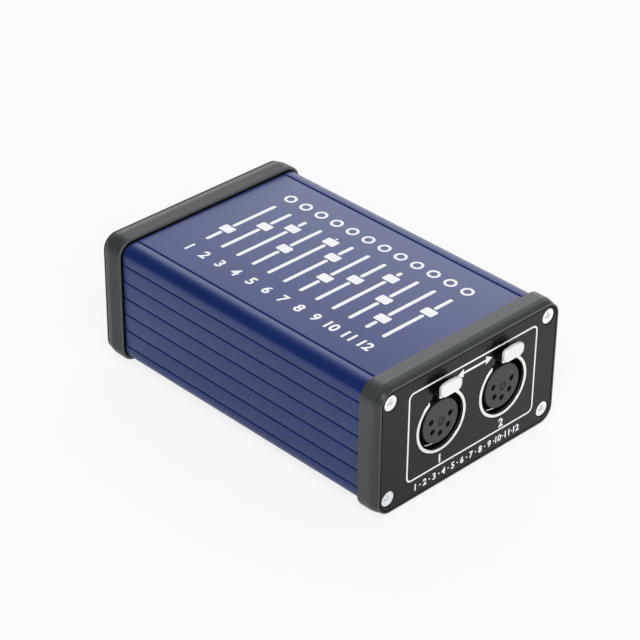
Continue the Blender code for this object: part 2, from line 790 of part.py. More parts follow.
def make_parts_on_board():
    controller = chip_mesh("controller", 17.9 * MM, 7.5 * MM, 2.3 * MM, 14, 1.27 * MM)
    place("controller_chip", controller, CHIP_BLACK, CASE, (0, 12.0 * MM, PART_Z))
    driver = chip_mesh("driver", 4.9 * MM, 3.9 * MM, 1.6 * MM, 4, 1.27 * MM)
    for letter, x in socket_places():
        place(f"driver_chip_{letter}", driver, CHIP_BLACK, CASE, (x, -30.0 * MM, PART_Z))
    rim = rounded_rect(-5.55 * MM, 5.55 * MM, -2.35 * MM, 2.35 * MM, 2.3 * MM, 6)
    dome = rounded_rect(-5.1 * MM, 5.1 * MM, -1.9 * MM, 1.9 * MM, 1.85 * MM, 6)
    base = prism("crystal", [rim], 0.0, 0.5 * MM, "Z")
    can = prism("crystal_can", [dome], 0.3 * MM, 3.5 * MM, "Z")
    place("crystal", combined("crystal", base, [can]), NICKEL, CASE, (14.0 * MM, 12.0 * MM, PART_Z))
    capacitor = can_mesh()
    for number, x in ((1, -20.0 * MM), (2, -12.0 * MM)):
        place(f"capacitor_{number}", capacitor, CAN_GREY, CASE, (x, 42.0 * MM, PART_Z), (-math.pi / 2, 0, 0))


def usb_leg_x():
    return USB_WIDTH / 2 - USB_SHEET / 2


def usb_leg_y():
    return PANEL_Y + USB_PROUD - 11.0 * MM


def usb_pin_spots():
    """Board holes of the port's four contacts: the lower pair in front, the upper pair behind."""
    back = PANEL_Y + USB_PROUD - USB_DEPTH
    return [(x, back + y) for y in (-1.2 * MM, -2.8 * MM) for x in (-USB_PIN_X, USB_PIN_X)]


def usb_mouth(margin=0.0):
    """The opening's outline: a square with its two upper corners cut off."""
    x = USB_MOUTH_WIDTH / 2 + margin
    z = USB_MOUTH_HEIGHT / 2 + margin
    shoulder = z - USB_CHAMFER
    top = x - USB_CHAMFER
    return [(x, -z), (x, shoulder), (top, z), (-top, z), (-x, shoulder), (-x, -z)]


# Port pieces are modelled about the middle of the port's mouth, with Y = 0 at its front
# edge and Y growing into the case. The port's empty turns them to face the rear.


def usb_shell_mesh():
    """The sheet-metal shell: a box tube, a front face round the mouth and two legs."""
    x, z = USB_WIDTH / 2, USB_HEIGHT / 2
    outer = rounded_rect(-x, x, -z, z, 0.6 * MM, 3)
    inner = rounded_rect(USB_SHEET - x, x - USB_SHEET, USB_SHEET - z, z - USB_SHEET, 0.2 * MM, 3)
    sleeve = prism("usb_shell", [outer, inner], 0.2 * MM, USB_DEPTH, "Y")
    face = prism("usb_face", [outer, usb_mouth()], 0.0, USB_SHEET, "Y")
    legs = []
    for side in (-1, 1):
        centre = side * usb_leg_x()
        half = USB_SHEET / 2
        low = (centre - half, 10.2 * MM, BOARD_BOTTOM - 0.6 * MM - USB_Z)
        legs.append(box("leg", low, (centre + half, 11.8 * MM, USB_SHEET - z)))
    return combined("usb_shell", sleeve, [face] + legs)


def usb_core_mesh():
    """The moulded core: a back wall with a tongue, channelled for the contacts."""
    x = USB_WIDTH / 2 - USB_SHEET - GAP
    z = USB_HEIGHT / 2 - USB_SHEET - GAP
    front = USB_SHEET + GAP
    block = prism("usb_core", [rounded_rect(-x, x, -z, z, 0.2 * MM, 3)], front, USB_DEPTH - GAP, "Y")
    pocket = prism("pocket", [usb_mouth(0.1 * MM)], 0.0, 9.5 * MM, "Y")
    tongue = box("tongue", (-2.8 * MM, 1.0 * MM, -1.6 * MM), (2.8 * MM, 10.5 * MM, 1.6 * MM))
    hollow = combined("usb_core", block, (), [pocket])
    channels = []
    half = 0.75 * MM
    for middle in (-USB_PIN_X, USB_PIN_X):
        for low, high in ((1.1 * MM, 2.1 * MM), (-2.1 * MM, -1.1 * MM)):
            start = (middle - half, 1.6 * MM, low)
            channels.append(box("channel", start, (middle + half, USB_DEPTH, high)))
    return combined("usb_core", hollow, [tongue], channels)


def usb_contact_mesh(level, tail_y):
    """A flat contact on the tongue that bends down behind the core into the board."""
    thick = 0.3 * MM
    low = level - thick / 2
    high = level + thick / 2
    bottom = BOARD_BOTTOM - 0.5 * MM - USB_Z
    front = 2.0 * MM
    near = tail_y - thick / 2
    far = tail_y + thick / 2
    line = [(front, low), (near, low), (near, bottom), (far, bottom), (far, high), (front, high)]
    half = 0.45 * MM
    return prism("usb_contact", [line], -half, half, "X")


def make_usb_port():
    port = datum("usb_port", (0, PANEL_Y + USB_PROUD, USB_Z), CASE)
    port.rotation_euler = (0, 0, math.pi)
    place("usb_shell", usb_shell_mesh(), NICKEL, port)
    place("usb_core", usb_core_mesh(), INSERT_PLASTIC, port)
    lower = usb_contact_mesh(-1.5 * MM, USB_DEPTH + 1.2 * MM)
    upper = usb_contact_mesh(1.5 * MM, USB_DEPTH + 2.8 * MM)
    number = 0
    for mesh in (lower, upper):
        for x in (-USB_PIN_X, USB_PIN_X):
            number += 1
            place(f"usb_contact_{number}", mesh, BRASS, port, (x, 0, 0))


clear_scene()
PARTS = new_collection("usb_lighting_interface")
CUTTERS = new_collection("cutters")

BLUE = new_material("blue_anodised_aluminium", (0.045, 0.065, 0.20), 0.42, 0.6)
BEZEL_PLASTIC = new_material("grey_bezel_plastic", (0.055, 0.058, 0.057), 0.5)
PANEL_BLACK = new_material("black_panel", (0.02, 0.019, 0.02), 0.3)
ZINC = new_material("bright_zinc", (0.75, 0.76, 0.76), 0.25, 1.0)
NICKEL = new_material("satin_nickel", (0.72, 0.70, 0.66), 0.25, 1.0)
STEEL = new_material("spring_steel", (0.5, 0.5, 0.5), 0.3, 1.0)
BRASS = new_material("gold_plated_brass", (0.8, 0.6, 0.25), 0.3, 1.0)
INSERT_PLASTIC = new_material("black_insert_plastic", (0.035, 0.036, 0.037), 0.55)
RUBBER = new_material("black_rubber", (0.02, 0.02, 0.02), 0.85)
BOARD_GREEN = new_material("green_board", (0.02, 0.12, 0.05), 0.4)
CHIP_BLACK = new_material("chip_plastic", (0.015, 0.015, 0.015), 0.5)
CAN_GREY = new_material("capacitor_can", (0.6, 0.6, 0.62), 0.35, 1.0)

# The latch tabs reach further forward than the rear bezel reaches back, so the case sits
# a little behind the middle of the whole object's length.
FRONT_REACH = PANEL_Y + TAB_PROUD
CASE = datum("case_datum", (0, (FRONT_REACH - LIP_Y) / 2, -FOOT_BOTTOM))

make_case()
make_bezels()
make_panels()
make_screws()
make_feet()
make_sockets()
make_board()
make_parts_on_board()
make_usb_port()
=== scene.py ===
import json
from math import acos, asin, copysign, cos, degrees, pi, radians, sin

import bmesh
import bpy
import numpy as np
from mathutils import Matrix, Vector, geometry


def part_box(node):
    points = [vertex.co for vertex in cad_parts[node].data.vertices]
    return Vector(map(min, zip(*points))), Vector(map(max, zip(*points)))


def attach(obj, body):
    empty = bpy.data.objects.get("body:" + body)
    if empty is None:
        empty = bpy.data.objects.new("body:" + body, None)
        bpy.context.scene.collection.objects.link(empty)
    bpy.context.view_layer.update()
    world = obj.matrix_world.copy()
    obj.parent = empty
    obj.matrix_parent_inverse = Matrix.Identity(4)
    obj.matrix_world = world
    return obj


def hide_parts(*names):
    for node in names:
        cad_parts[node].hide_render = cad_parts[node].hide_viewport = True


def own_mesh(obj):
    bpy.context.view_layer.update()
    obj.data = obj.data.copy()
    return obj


class Values(dict):
    # a dictionary whose values also read as attributes
    __getattr__ = dict.__getitem__


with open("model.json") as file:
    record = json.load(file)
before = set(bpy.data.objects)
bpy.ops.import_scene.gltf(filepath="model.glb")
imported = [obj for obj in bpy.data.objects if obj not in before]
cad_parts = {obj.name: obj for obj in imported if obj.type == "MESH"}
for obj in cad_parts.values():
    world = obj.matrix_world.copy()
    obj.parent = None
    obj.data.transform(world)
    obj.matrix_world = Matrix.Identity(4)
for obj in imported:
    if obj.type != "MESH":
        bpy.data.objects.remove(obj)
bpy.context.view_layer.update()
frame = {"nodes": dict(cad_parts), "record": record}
print("frame loaded:", len(frame["nodes"]), "nodes")

# Shapes are in millimetres about the case datum, the middle of the extrusion's underside.
# makePiece turns them into metres in the CAD's place.
mm = 0.001
caseLow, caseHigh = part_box("case_extrusion")
datum = np.array([0.0, (caseLow.y + caseHigh.y) / 2, caseLow.z])
caseWidth, caseLength, caseHeight = ((caseHigh[i] - caseLow[i]) / mm for i in range(3))
caseHalf, caseEnd = caseWidth / 2, caseLength / 2
panelFace = (datum[1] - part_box("front_panel")[0].y) / mm
slotOf = {part["node"]: part["material_slot"] for part in frame["record"]["subparts"]}


def middleOf(node):
    # the middle of a CAD node's box, in millimetres about the datum
    low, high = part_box(node)
    return (np.array(low + high) / 2 - datum) / mm


socketAxes = {letter: middleOf(f"socket_insert_{letter}")[[0, 2]] for letter in "ab"}
screwCorners = ("low_left", "low_right", "high_left", "high_right")
screwSpots = [middleOf(f"front_screw_{corner}")[[0, 2]] for corner in screwCorners]
bothEnds = (("front", False), ("rear", True))


def unit(vectors):
    # every row divided by its length
    return vectors / np.linalg.norm(vectors, axis=-1, keepdims=True)


def arc(cx, cy, radius, start, end, steps):
    # centre + radius * (cosine, sine) of even angles in degrees, both ends included
    turn = np.radians(np.linspace(start, end, steps + 1))
    return np.c_[cx + radius * np.cos(turn), cy + radius * np.sin(turn)]


def circle(cx, cy, radius, steps):
    # an arc all the way round, less its doubled last point
    return arc(cx, cy, radius, 0, 360, steps)[:-1]


def softCorners(corners, radii, steps=5, guard=0.0):
    # A closed polygon with rounded corners. Each arc leaves its corner's sides at
    # radius / tan(half the angle) and turns about a centre at radius / sin(half the angle).
    # A guard point that far beyond each arc keeps the flat sides' shading flat.
    corners = np.asarray(corners, float)
    radii = np.broadcast_to(np.asarray(radii, float), len(corners))[:, None]
    before = unit(np.roll(corners, 1, axis=0) - corners)
    after = unit(np.roll(corners, -1, axis=0) - corners)
    half = np.arccos(np.clip((before * after).sum(1), -1, 1))[:, None] / 2
    reach = radii / np.tan(half)
    centre = unit(before + after) * radii / np.sin(half)
    spread = (pi - 2 * half)[:, None]
    share = np.linspace(0, 1, steps + 1)[None, :, None]
    first = np.sin((1 - share) * spread) * (before * reach - centre)[:, None]
    last = np.sin(share * spread) * (after * reach - centre)[:, None]
    points = (corners + centre)[:, None] + (first + last) / np.sin(spread)
    if guard:
        lead = (corners + before * (reach + guard))[:, None]
        trail = (corners + after * (reach + guard))[:, None]
        points = np.concatenate([lead, points, trail], axis=1)
    return points.reshape(-1, 2)


def box2d(x0, x1, y0, y1, radius, steps=5, guard=0.0):
    # a rectangle with its corners rounded
    return softCorners([(x1, y1), (x0, y1), (x0, y0), (x1, y0)], radius, steps, guard)


def inset(loop, distance):
    # a closed outline moved inwards along the normals between each point's neighbours
    along = unit(np.roll(loop, -1, axis=0) - np.roll(loop, 1, axis=0))
    turn = np.sum(loop[:, 0] * np.roll(loop[:, 1], -1) - loop[:, 1] * np.roll(loop[:, 0], -1))
    return loop + copysign(distance, turn) * np.c_[-along[:, 1], along[:, 0]]


def mirroredLoop(half):
    # a closed outline from its right half, which starts and ends on the middle line
    half = np.asarray(half, float)
    left = half[::-1] * [-1, 1]
    return np.vstack([half, left[np.abs(left[:, 0]) > 1e-6]])


# An outline's two coordinates laid flat across one axis, at one place along it
def onX(loop, x):
    return np.insert(loop, 0, x, axis=1)


def onY(loop, y):
    return np.insert(loop, 1, y, axis=1)


def onZ(loop, z):
    return np.insert(loop, 2, z, axis=1)


# A surface is (points, faces), and a shape is a list of surfaces
def grid(points, wrapRows=False, wrapCols=False):
    # quads between the neighbouring rows and columns of a grid of points
    rows, cols = points.shape[:2]
    row = np.arange(rows if wrapRows else rows - 1)[:, None]
    col = np.arange(cols if wrapCols else cols - 1)[None, :]
    row, col = np.broadcast_arrays(row, col)
    nextRow, nextCol = (row + 1) % rows, (col + 1) % cols
    corners = [row * cols + col, row * cols + nextCol, nextRow * cols + nextCol, nextRow * cols + col]
    return points.reshape(-1, 3), np.stack(corners, axis=-1).reshape(-1, 4)


def loft(*loops):
    # quads between closed outlines that have equally many points
    return grid(np.stack(loops), wrapCols=True)


def cap(*loops):
    # a flat face with holes, between an outer loop and any inner ones
    triangles = geometry.tessellate_polygon([[Vector(p) for p in loop] for loop in loops])
    return np.vstack(loops), np.array(triangles)


def wall(loop, low, high, put=onY):
    # an outline carried straight from low to high along one axis
    return loft(put(loop, low), put(loop, high))


def prism(loops, low, high, put=onY):
    # the walls of several outlines, with both ends closed
    ends = [cap(*[put(loop, at) for loop in loops]) for at in (low, high)]
    return [wall(loop, low, high, put) for loop in loops] + ends


def slab(loop, low, high, soft, put=onY, steps=4, crown=0.0, crownRings=9):
    # A plate with rounded rims: towards each face the outline draws in by
    # soft * (1 - cos) as the depth goes by soft * sin. A crown swells the low face.
    turn = np.radians(np.linspace(0, 90, steps + 1))
    rise, draw = soft * np.sin(turn), soft * (1 - np.cos(turn))
    rows = [put(inset(loop, d), low + soft - r) for r, d in zip(rise[::-1], draw[::-1])]
    rows += [put(inset(loop, d), high - soft + r) for r, d in zip(rise, draw)]
    shape = [loft(*rows), cap(rows[-1])]
    if not crown:
        return shape + [cap(rows[0])]
    middle = rows[0].mean(axis=0)
    share = np.linspace(0, 1, crownRings)[:, None, None]
    swell = middle + (rows[0] - middle)[None] * (1 - share)
    away = np.argmax(np.abs(put(np.zeros((1, 2)), 1.0)[0]))
    swell[..., away] -= crown * (1 - (1 - share[..., 0]) ** 2)
    return shape + [grid(swell, wrapCols=True)]


def turned(profile, steps=48, put=onY):
    # a profile of (radius, depth) points turned about an axis; radius 0 is a pole
    turn = np.radians(np.arange(steps) * 360 / steps)
    ring = np.c_[np.cos(turn), np.sin(turn)]
    return [loft(*[put(radius * ring, depth) for radius, depth in profile])]


def tube(path, side, radius, sides=10):
    # A round wire. At each point of the path, a circle lies across the tangent, measured
    # from the given side direction; both ends are closed to a point on the path.
    path = np.asarray(path, float)
    tangent = unit(np.gradient(path, axis=0))
    side = unit(side - (side * tangent).sum(1, keepdims=True) * tangent)
    other = np.cross(tangent, side)
    turn = np.radians(np.arange(sides) * 360 / sides)[None, :, None]
    rings = path[:, None] + radius * (np.cos(turn) * side[:, None] + np.sin(turn) * other[:, None])
    poles = np.repeat(path[[0, -1]][:, None], sides, axis=1)
    return [grid(np.vstack([poles[:1], rings, poles[1:]]), wrapCols=True)]


def moved(shape, x=0.0, y=0.0, z=0.0, aboutFace=False):
    # a shape shifted, after half a turn about the upright axis where it faces the rear
    facing = [-1, -1, 1] if aboutFace else [1, 1, 1]
    return [(points * facing + [x, y, z], faces) for points, faces in shape]


def newObject(name, data):
    # an object with its data, linked to the scene
    made = bpy.data.objects.new(name, data)
    bpy.context.scene.collection.objects.link(made)
    return made


joining = Values(mergeWithin=0.002, bevelAngle=40, bevelSegments=2)


def makePiece(name, shape, material, nodes=(), slotName=None, body="case", sharp=32, bevel=0.0):
    # One mesh: doubles merged, faces turned outwards, and edges kept hard above the sharp
    # angle or rounded by a bevel. It looks up the slot of its node, unless another is named,
    # but gives the piece no slot.
    starts = np.cumsum([0] + [len(points) for points, _ in shape])
    points = np.vstack([points for points, _ in shape]) * mm + datum
    faces = [face for (_, quads), start in zip(shape, starts) for face in (quads + start).tolist()]
    mesh = bpy.data.meshes.new(name)
    mesh.from_pydata(points.tolist(), [], faces)
    work = bmesh.new()
    work.from_mesh(mesh)
    bmesh.ops.remove_doubles(work, verts=work.verts, dist=joining.mergeWithin * mm)
    bmesh.ops.recalc_face_normals(work, faces=work.faces)
    work.to_mesh(mesh)
    work.free()
    mesh.shade_smooth()
    mesh.set_sharp_from_angle(angle=radians(sharp))
    mesh.materials.append(material)
    piece = newObject(name, mesh)
    if bevel:
        rounding = piece.modifiers.new("edges", "BEVEL")
        rounding.width = bevel * mm
        rounding.segments = joining.bevelSegments
        rounding.limit_method = "ANGLE"
        rounding.angle_limit = radians(joining.bevelAngle)
        rounding.harden_normals = True
    slotName = slotName or slotOf[nodes[0]]
    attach(piece, body)
    if nodes:
        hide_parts(*nodes)
    return piece


def linear(hexCode):
    # an sRGB hex colour as linear red, green, blue and alpha
    parts = [int(hexCode[i:i + 2], 16) / 255 for i in (1, 3, 5)]
    return [c / 12.92 if c <= 0.04045 else ((c + 0.055) / 1.055) ** 2.4 for c in parts] + [1.0]


def fill(node, inputs):
    # An input takes a plain value, an output, or a node, which stands for its first output
    for key, value in inputs.items():
        if isinstance(value, bpy.types.Node):
            value = value.outputs[0]
        if isinstance(value, bpy.types.NodeSocket):
            node.id_data.links.new(value, node.inputs[key])
        else:
            node.inputs[key].default_value = value


def add(tree, kind, inputs=None, settings=None):
    # a new shader node with its properties set and its inputs filled
    made = tree.nodes.new("ShaderNode" + kind)
    for key, value in (settings or {}).items():
        setattr(made, key, value)
    fill(made, inputs or {})
    return made


def perMetre(size):
    # a texture scale whose features are that many millimetres across
    return 1 / (size * mm)


def newMaterial(name, values):
    # a Principled material with its even values set, its tree, and the Object coordinates
    material = bpy.data.materials.new(name)
    material.use_nodes = True
    tree = material.node_tree
    shader = tree.nodes["Principled BSDF"]
    fill(shader, values)
    return material, tree, shader, add(tree, "TexCoord").outputs["Object"]


def grained(name, values, grain, cloud, tones, rough, relief, stretch=(1, 1, 1)):
    # Two tones mixed by a broad cloud and a fine grain, a roughness that follows the grain,
    # and the grain's relief as bump. Sizes are in millimetres.
    material, tree, shader, coords = newMaterial(name, values)
    laid = add(tree, "Mapping", {"Vector": coords, "Scale": stretch})
    fine = add(tree, "TexNoise", {"Vector": laid, "Scale": perMetre(grain), "Detail": 3.0})
    broad = add(tree, "TexNoise", {"Vector": coords, "Scale": perMetre(cloud), "Detail": 2.0})
    both = add(tree, "Math", {0: fine, 1: broad}, {"operation": "ADD"})
    share = add(tree, "MapRange", {"Value": both, "From Min": 0.6, "From Max": 1.4})
    mix = {0: share, 6: linear(tones[0]), 7: linear(tones[1])}
    colour = add(tree, "Mix", mix, {"data_type": "RGBA"})
    sheen = {"Value": fine, "From Min": 0.3, "From Max": 0.7, "To Min": rough[0], "To Max": rough[1]}
    sheen = add(tree, "MapRange", sheen)
    bump = add(tree, "Bump", {"Height": fine, "Strength": 1.0, "Distance": relief * mm})
    fill(shader, {"Base Color": colour.outputs[2], "Roughness": sheen, "Normal": bump})
    return material


def turning(material, name, near, far, colour="#070707", bothWays=False):
    # A copy of a material that turns plain in another colour between two places along the
    # length, in millimetres about the datum: share = (y - near) / (far - near). Here it paints
    # shade, near-black by default, and in places light.
    made = material.copy()
    made.name = name
    tree = made.node_tree
    shader = tree.nodes["Principled BSDF"]
    coords = tree.nodes["Texture Coordinate"].outputs["Object"]
    across = add(tree, "SeparateXYZ", {0: coords}).outputs["Y"]
    along = add(tree, "Math", {0: across, 1: datum[1]}, {"operation": "SUBTRACT"})
    if bothWays:
        along = add(tree, "Math", {0: along}, {"operation": "ABSOLUTE"})
    share = add(tree, "MapRange", {"Value": along, "From Min": near * mm, "From Max": far * mm})
    before = shader.inputs["Base Color"].links[0].from_socket
    toned = add(tree, "Mix", {0: share, 6: before, 7: linear(colour)}, {"data_type": "RGBA"})
    fill(shader, {"Base Color": toned.outputs[2]})
    metal = shader.inputs["Metallic"].default_value
    if metal:
        plated = add(tree, "MapRange", {"Value": share, "To Min": metal, "To Max": 0.0})
        fill(shader, {"Metallic": plated})
    return made


# A dyed, clear-sealed oxide over finely etched metal, with faint die lines along the length
anodisedBlue = grained(
    "satin blue anodised aluminium",
    {"Metallic": 0.3, "Specular IOR Level": 0.2,
     "Coat Weight": 0.6, "Coat Roughness": 0.27, "Coat IOR": 1.6},
    grain=0.5, cloud=40, tones=("#0f2867", "#122c6c"), rough=(0.38, 0.44), relief=0.0012,
    stretch=(1, 0.02, 1),
)
# The extrusion's, black from 0.7 mm before the bezels: painted shade for the dark line of the joint
blueWithPaintedJointShade = turning(anodisedBlue, "satin blue anodised aluminium with painted joint shade",
    near=caseEnd - 5.75, far=caseEnd - 5.65, bothWays=True)
# A fine spark-eroded texture, softly glossy
bezelAbs = grained("textured grey ABS", {"IOR": 1.54},
    grain=0.6, cloud=25, tones=("#373938", "#3d403e"), rough=(0.29, 0.31), relief=0.0015)
# The front moulding's: painted shade darkens its slope, and the bead at its lip is paler again, back in
# a plain grey
absWithPaintedSlopeShade = turning(bezelAbs, "textured grey ABS with painted shade on its slope",
    near=0.2 - caseEnd, far=-1.6 - caseEnd, colour="#2a2c2b")
frontAbsSlopeShadeToBead = turning(absWithPaintedSlopeShade, "textured grey ABS with a pale bead",
    near=-3.0 - caseEnd, far=-3.04 - caseEnd, colour="#373a38")
# The rear moulding's: painted shade in darker tones with weaker reflections, and painted light on the
# edge where it meets the body
rearAbsPaintedShade = grained("grey ABS in painted shade", {"IOR": 1.54, "Specular IOR Level": 0.2},
    grain=0.6, cloud=25, tones=("#353736", "#3b3e3c"), rough=(0.27, 0.29), relief=0.0012)
rearAbsShadeAndEdgeLight = turning(rearAbsPaintedShade, "grey ABS in painted shade with painted light on its edge",
    near=caseEnd - 4.85, far=caseEnd - 4.95, colour="#5c5e5d")
# A smooth film on the panels
panelPaint = grained("semi-gloss black paint", {"IOR": 1.42, "Specular IOR Level": 0.35},
    grain=0.5, cloud=20, tones=("#0b0a0b", "#0e0d0e"), rough=(0.26, 0.3), relief=0.0003)
# Slightly raised and matt
whiteInk = grained("screen-printed white ink", {"IOR": 1.48},
    grain=0.4, cloud=8, tones=("#f4f4f6", "#fafafb"), rough=(0.5, 0.6), relief=0.002)
# On the steel screws: nearly white, with a trace of rumble-polish grain
zincPlate = grained("bright zinc plating", {"Metallic": 0.8},
    grain=0.35, cloud=3, tones=("#fafbfb", "#fefefe"), rough=(0.26, 0.34), relief=0.0004)
# Plain pale grey and not metal in their recesses and on their shanks: painted light in the hollows
zincPaintedRecessLight = turning(zincPlate, "bright zinc plating with painted light in its recesses",
    near=panelFace - 0.5, far=panelFace - 0.8, colour="#d8dada", bothWays=True)
# Over a zinc casting: warm white metal
satinNickel = grained("satin nickel plating", {"Metallic": 1.0},
    grain=0.4, cloud=4, tones=("#faf6f0", "#fdfaf6"), rough=(0.2, 0.26), relief=0.0003)
# The casting's ring is bare nickel; from 0.7 mm down, its bore is painted black as shade
nickelWithPaintedBoreShade = turning(satinNickel, "satin nickel plating with painted shade in its bore",
    near=0.65 - panelFace, far=0.75 - panelFace)
# Pale and softly shining on the latches' tabs, with the levers behind them painted black as shade
tumbledNickel = grained("tumbled nickel plating", {"Metallic": 0.4},
    grain=0.5, cloud=4, tones=("#f4f1ec", "#faf8f4"), rough=(0.42, 0.5), relief=0.0006)
tabNickelPaintedLeverShade = turning(tumbledNickel, "tumbled nickel plating on a black lever",
    near=-2.35 - panelFace, far=-2.25 - panelFace)
# Matt, with a greyish bloom; painted shade makes it dark in the bores, and half as dark in the sunk
# boss
insertPbt = grained("black glass-filled PBT", {"IOR": 1.55},
    grain=0.35, cloud=5, tones=("#2b2d2f", "#323436"), rough=(0.5, 0.6), relief=0.004)
insertPaintedBoreShade = turning(insertPbt, "black glass-filled PBT with painted shade in its bores",
    near=0.3 - panelFace, far=0.4 - panelFace, colour="#020202")
goldContact = grained("gold-plated brass", {"Metallic": 1.0},
    grain=0.3, cloud=2, tones=("#d9b566", "#e6c67c"), rough=(0.2, 0.3), relief=0.001)
springSteel = grained("drawn spring steel", {"Metallic": 1.0},
    grain=0.3, cloud=3, tones=("#8f9193", "#a5a7a9"), rough=(0.25, 0.38), relief=0.001)
# With a dusty bloom
footRubber = grained("moulded black rubber", {"IOR": 1.5},
    grain=0.5, cloud=4, tones=("#151515", "#1d1d1c"), rough=(0.75, 0.9), relief=0.01)
# Over glass laminate
boardResist = grained("green solder resist", {"IOR": 1.5, "Coat Weight": 0.3, "Coat Roughness": 0.15},
    grain=1.2, cloud=6, tones=("#0c4020", "#136030"), rough=(0.3, 0.4), relief=0.01)
chipEpoxy = grained("black moulded epoxy", {"IOR": 1.55},
    grain=0.25, cloud=3, tones=("#161617", "#202022"), rough=(0.45, 0.6), relief=0.004)
canAluminium = grained("drawn aluminium can", {"Metallic": 1.0},
    grain=0.3, cloud=3, tones=("#b9babd", "#c9cacd"), rough=(0.25, 0.35), relief=0.001)
print("materials made")


# The extruded case and its belly plate
extrusion = Values(
    radius=4.6, wall=1.5, gap=0.25, grooveDepth=0.4, topGrooveX=32.7, topGrooveWidth=0.9,
    sideGrooves=6, sideGroovePitch=6.2, sideGrooveLowest=6.05, sideGrooveWidth=0.7,
    bellyHalf=32.65, bellyThick=2.0, bellyTongue=0.5, bellyReach=1.1, bellyEase=0.12,
    slotHeights=(8.0, 21.3, 33.0), boardThick=1.6, ribReach=35.4, ribThick=1.0, boss=2.9,
    bossHole=1.5,
)


def groove(width, depth):
    # a V groove's (along, down) points with eased lips and a small round root
    half = width / 2
    flank = np.array([
        (-half - 0.1, 0.0), (-half - 0.02, 0.015), (-half + 0.04, 0.07), (-0.06, depth - 0.03)])
    return np.vstack([flank, [(0.0, depth)], flank[::-1] * [-1, 1]])


def caseSection(e):
    # The extrusion's outline, right half from the top's middle round to the ceiling's:
    # grooves on the flank, belly slot, board ribs, and a boss round each screw. A boss ends
    # at the angle whose sine or cosine is the wall's distance over the boss's radius.
    radius, gap, boss = e.radius, e.gap, e.boss
    inner, ceiling = caseHalf - e.wall, caseHeight - e.wall
    screwX, lowZ, highZ = abs(screwSpots[0][0]), screwSpots[0][1], screwSpots[2][1]
    topGroove = groove(e.topGrooveWidth, e.grooveDepth) * [1, -1]
    outside = [[(0.0, caseHeight)], topGroove + [e.topGrooveX, caseHeight]]
    outside.append(arc(caseHalf - radius, caseHeight - radius, radius, 90, 0, 24))
    along, down = groove(e.sideGrooveWidth, e.grooveDepth).T
    for row in reversed(range(e.sideGrooves)):
        z = e.sideGrooveLowest + row * e.sideGroovePitch
        outside.append(np.c_[caseHalf - down, z - along])
    outside.append(arc(caseHalf - radius, radius, radius, 0, -90, 24))
    lip = e.bellyHalf + gap
    tongueEnd, tongueHigh = lip + e.bellyReach, e.bellyThick + gap
    tongueLow = e.bellyThick - e.bellyTongue - gap
    meet = degrees(asin((lowZ - tongueHigh) / boss))
    inside = [[(lip, 0.0), (lip, tongueLow), (tongueEnd, tongueLow), (tongueEnd, tongueHigh)]]
    inside.append(arc(screwX, lowZ, boss, 180 + meet, 90, 16))
    reach, thick = e.ribReach, e.ribThick
    for index, bottom in enumerate(e.slotHeights):
        low, high = bottom - gap, bottom + e.boardThick + gap
        rib = [(inner, low - thick), (reach, low - thick), (reach, low), (inner, low)]
        inside.append(rib[2:] if index == 0 else rib)
        inside.append([(inner, high), (reach, high), (reach, high + thick), (inner, high + thick)])
    side = degrees(acos((inner - screwX) / boss))
    roof = degrees(asin((ceiling - highZ) / boss))
    inside.append(arc(screwX, highZ, boss, -side, -180 - roof, 20))
    return mirroredLoop(np.vstack(outside + inside + [[(0.0, ceiling)]]))


def bellySection(e):
    # the plate's right half: flat above, with a tongue reaching out over a step
    half, thick, ease = e.bellyHalf, e.bellyThick, e.bellyEase
    reach, step = half + e.bellyReach, thick - e.bellyTongue
    return mirroredLoop([(0.0, thick), (reach, thick), (reach, step), (half, step), (half, ease),
                         (half - ease, 0.0), (0.0, 0.0)])


bossHoles = [circle(x, z, extrusion.bossHole, 20) for x, z in screwSpots]
bodyShape = prism([caseSection(extrusion)] + bossHoles, -caseEnd, caseEnd)
# the body's material paints the joints' shade black beside the bezels
makePiece("case_body", bodyShape, blueWithPaintedJointShade, ["case_extrusion"], sharp=24)
bellyShape = prism([bellySection(extrusion)], -caseEnd, caseEnd)
makePiece("belly_cover", bellyShape, anodisedBlue, ["belly_plate"])
print("case made")


# Bezels: (outwards, forward) points from the case's end, carried round it
bezel = Values(
    lap=5.0, proud=1.35, crease=-0.2, slopeMiddle=(0.95, 1.7), slopeFoot=(0.42, 2.98),
    bead=(0.57, 3.04), lip=3.35, lipInner=0.02, flangeFront=1.75, flangeReach=2.6, gap=0.25,
    joint=0.4, jointDepths=(2.6, 2.3),
    radii=(0.2, 0.22, 6.5, 0.03, 0.04, 0.1, 0.08, 0.1, 0.1, 0.1, 0.1, 0.1, 0.1, 0.08),
    tabRadius=3.3, tabHole=1.7, tabInset=0.06,
)


def bezelSection(b):
    # the section's corners, each rounded by its own radius: flank, slope and bead outside,
    # lip and flange in front, and the lap over the case with its open joint
    proud, lap, gap = b.proud, b.lap, b.gap
    front, reach = b.flangeFront, b.flangeReach
    corners = [
        (proud, -lap), (proud, b.crease), b.slopeMiddle, b.slopeFoot, b.bead, (b.bead[0], b.lip),
        (b.lipInner, b.lip), (b.lipInner, front), (-reach, front), (-reach, gap), (gap, gap),
        (gap, b.jointDepths[0] - lap), (b.joint, b.jointDepths[1] - lap), (b.joint, -lap),
    ]
    return softCorners(corners, b.radii, steps=4, guard=0.03)


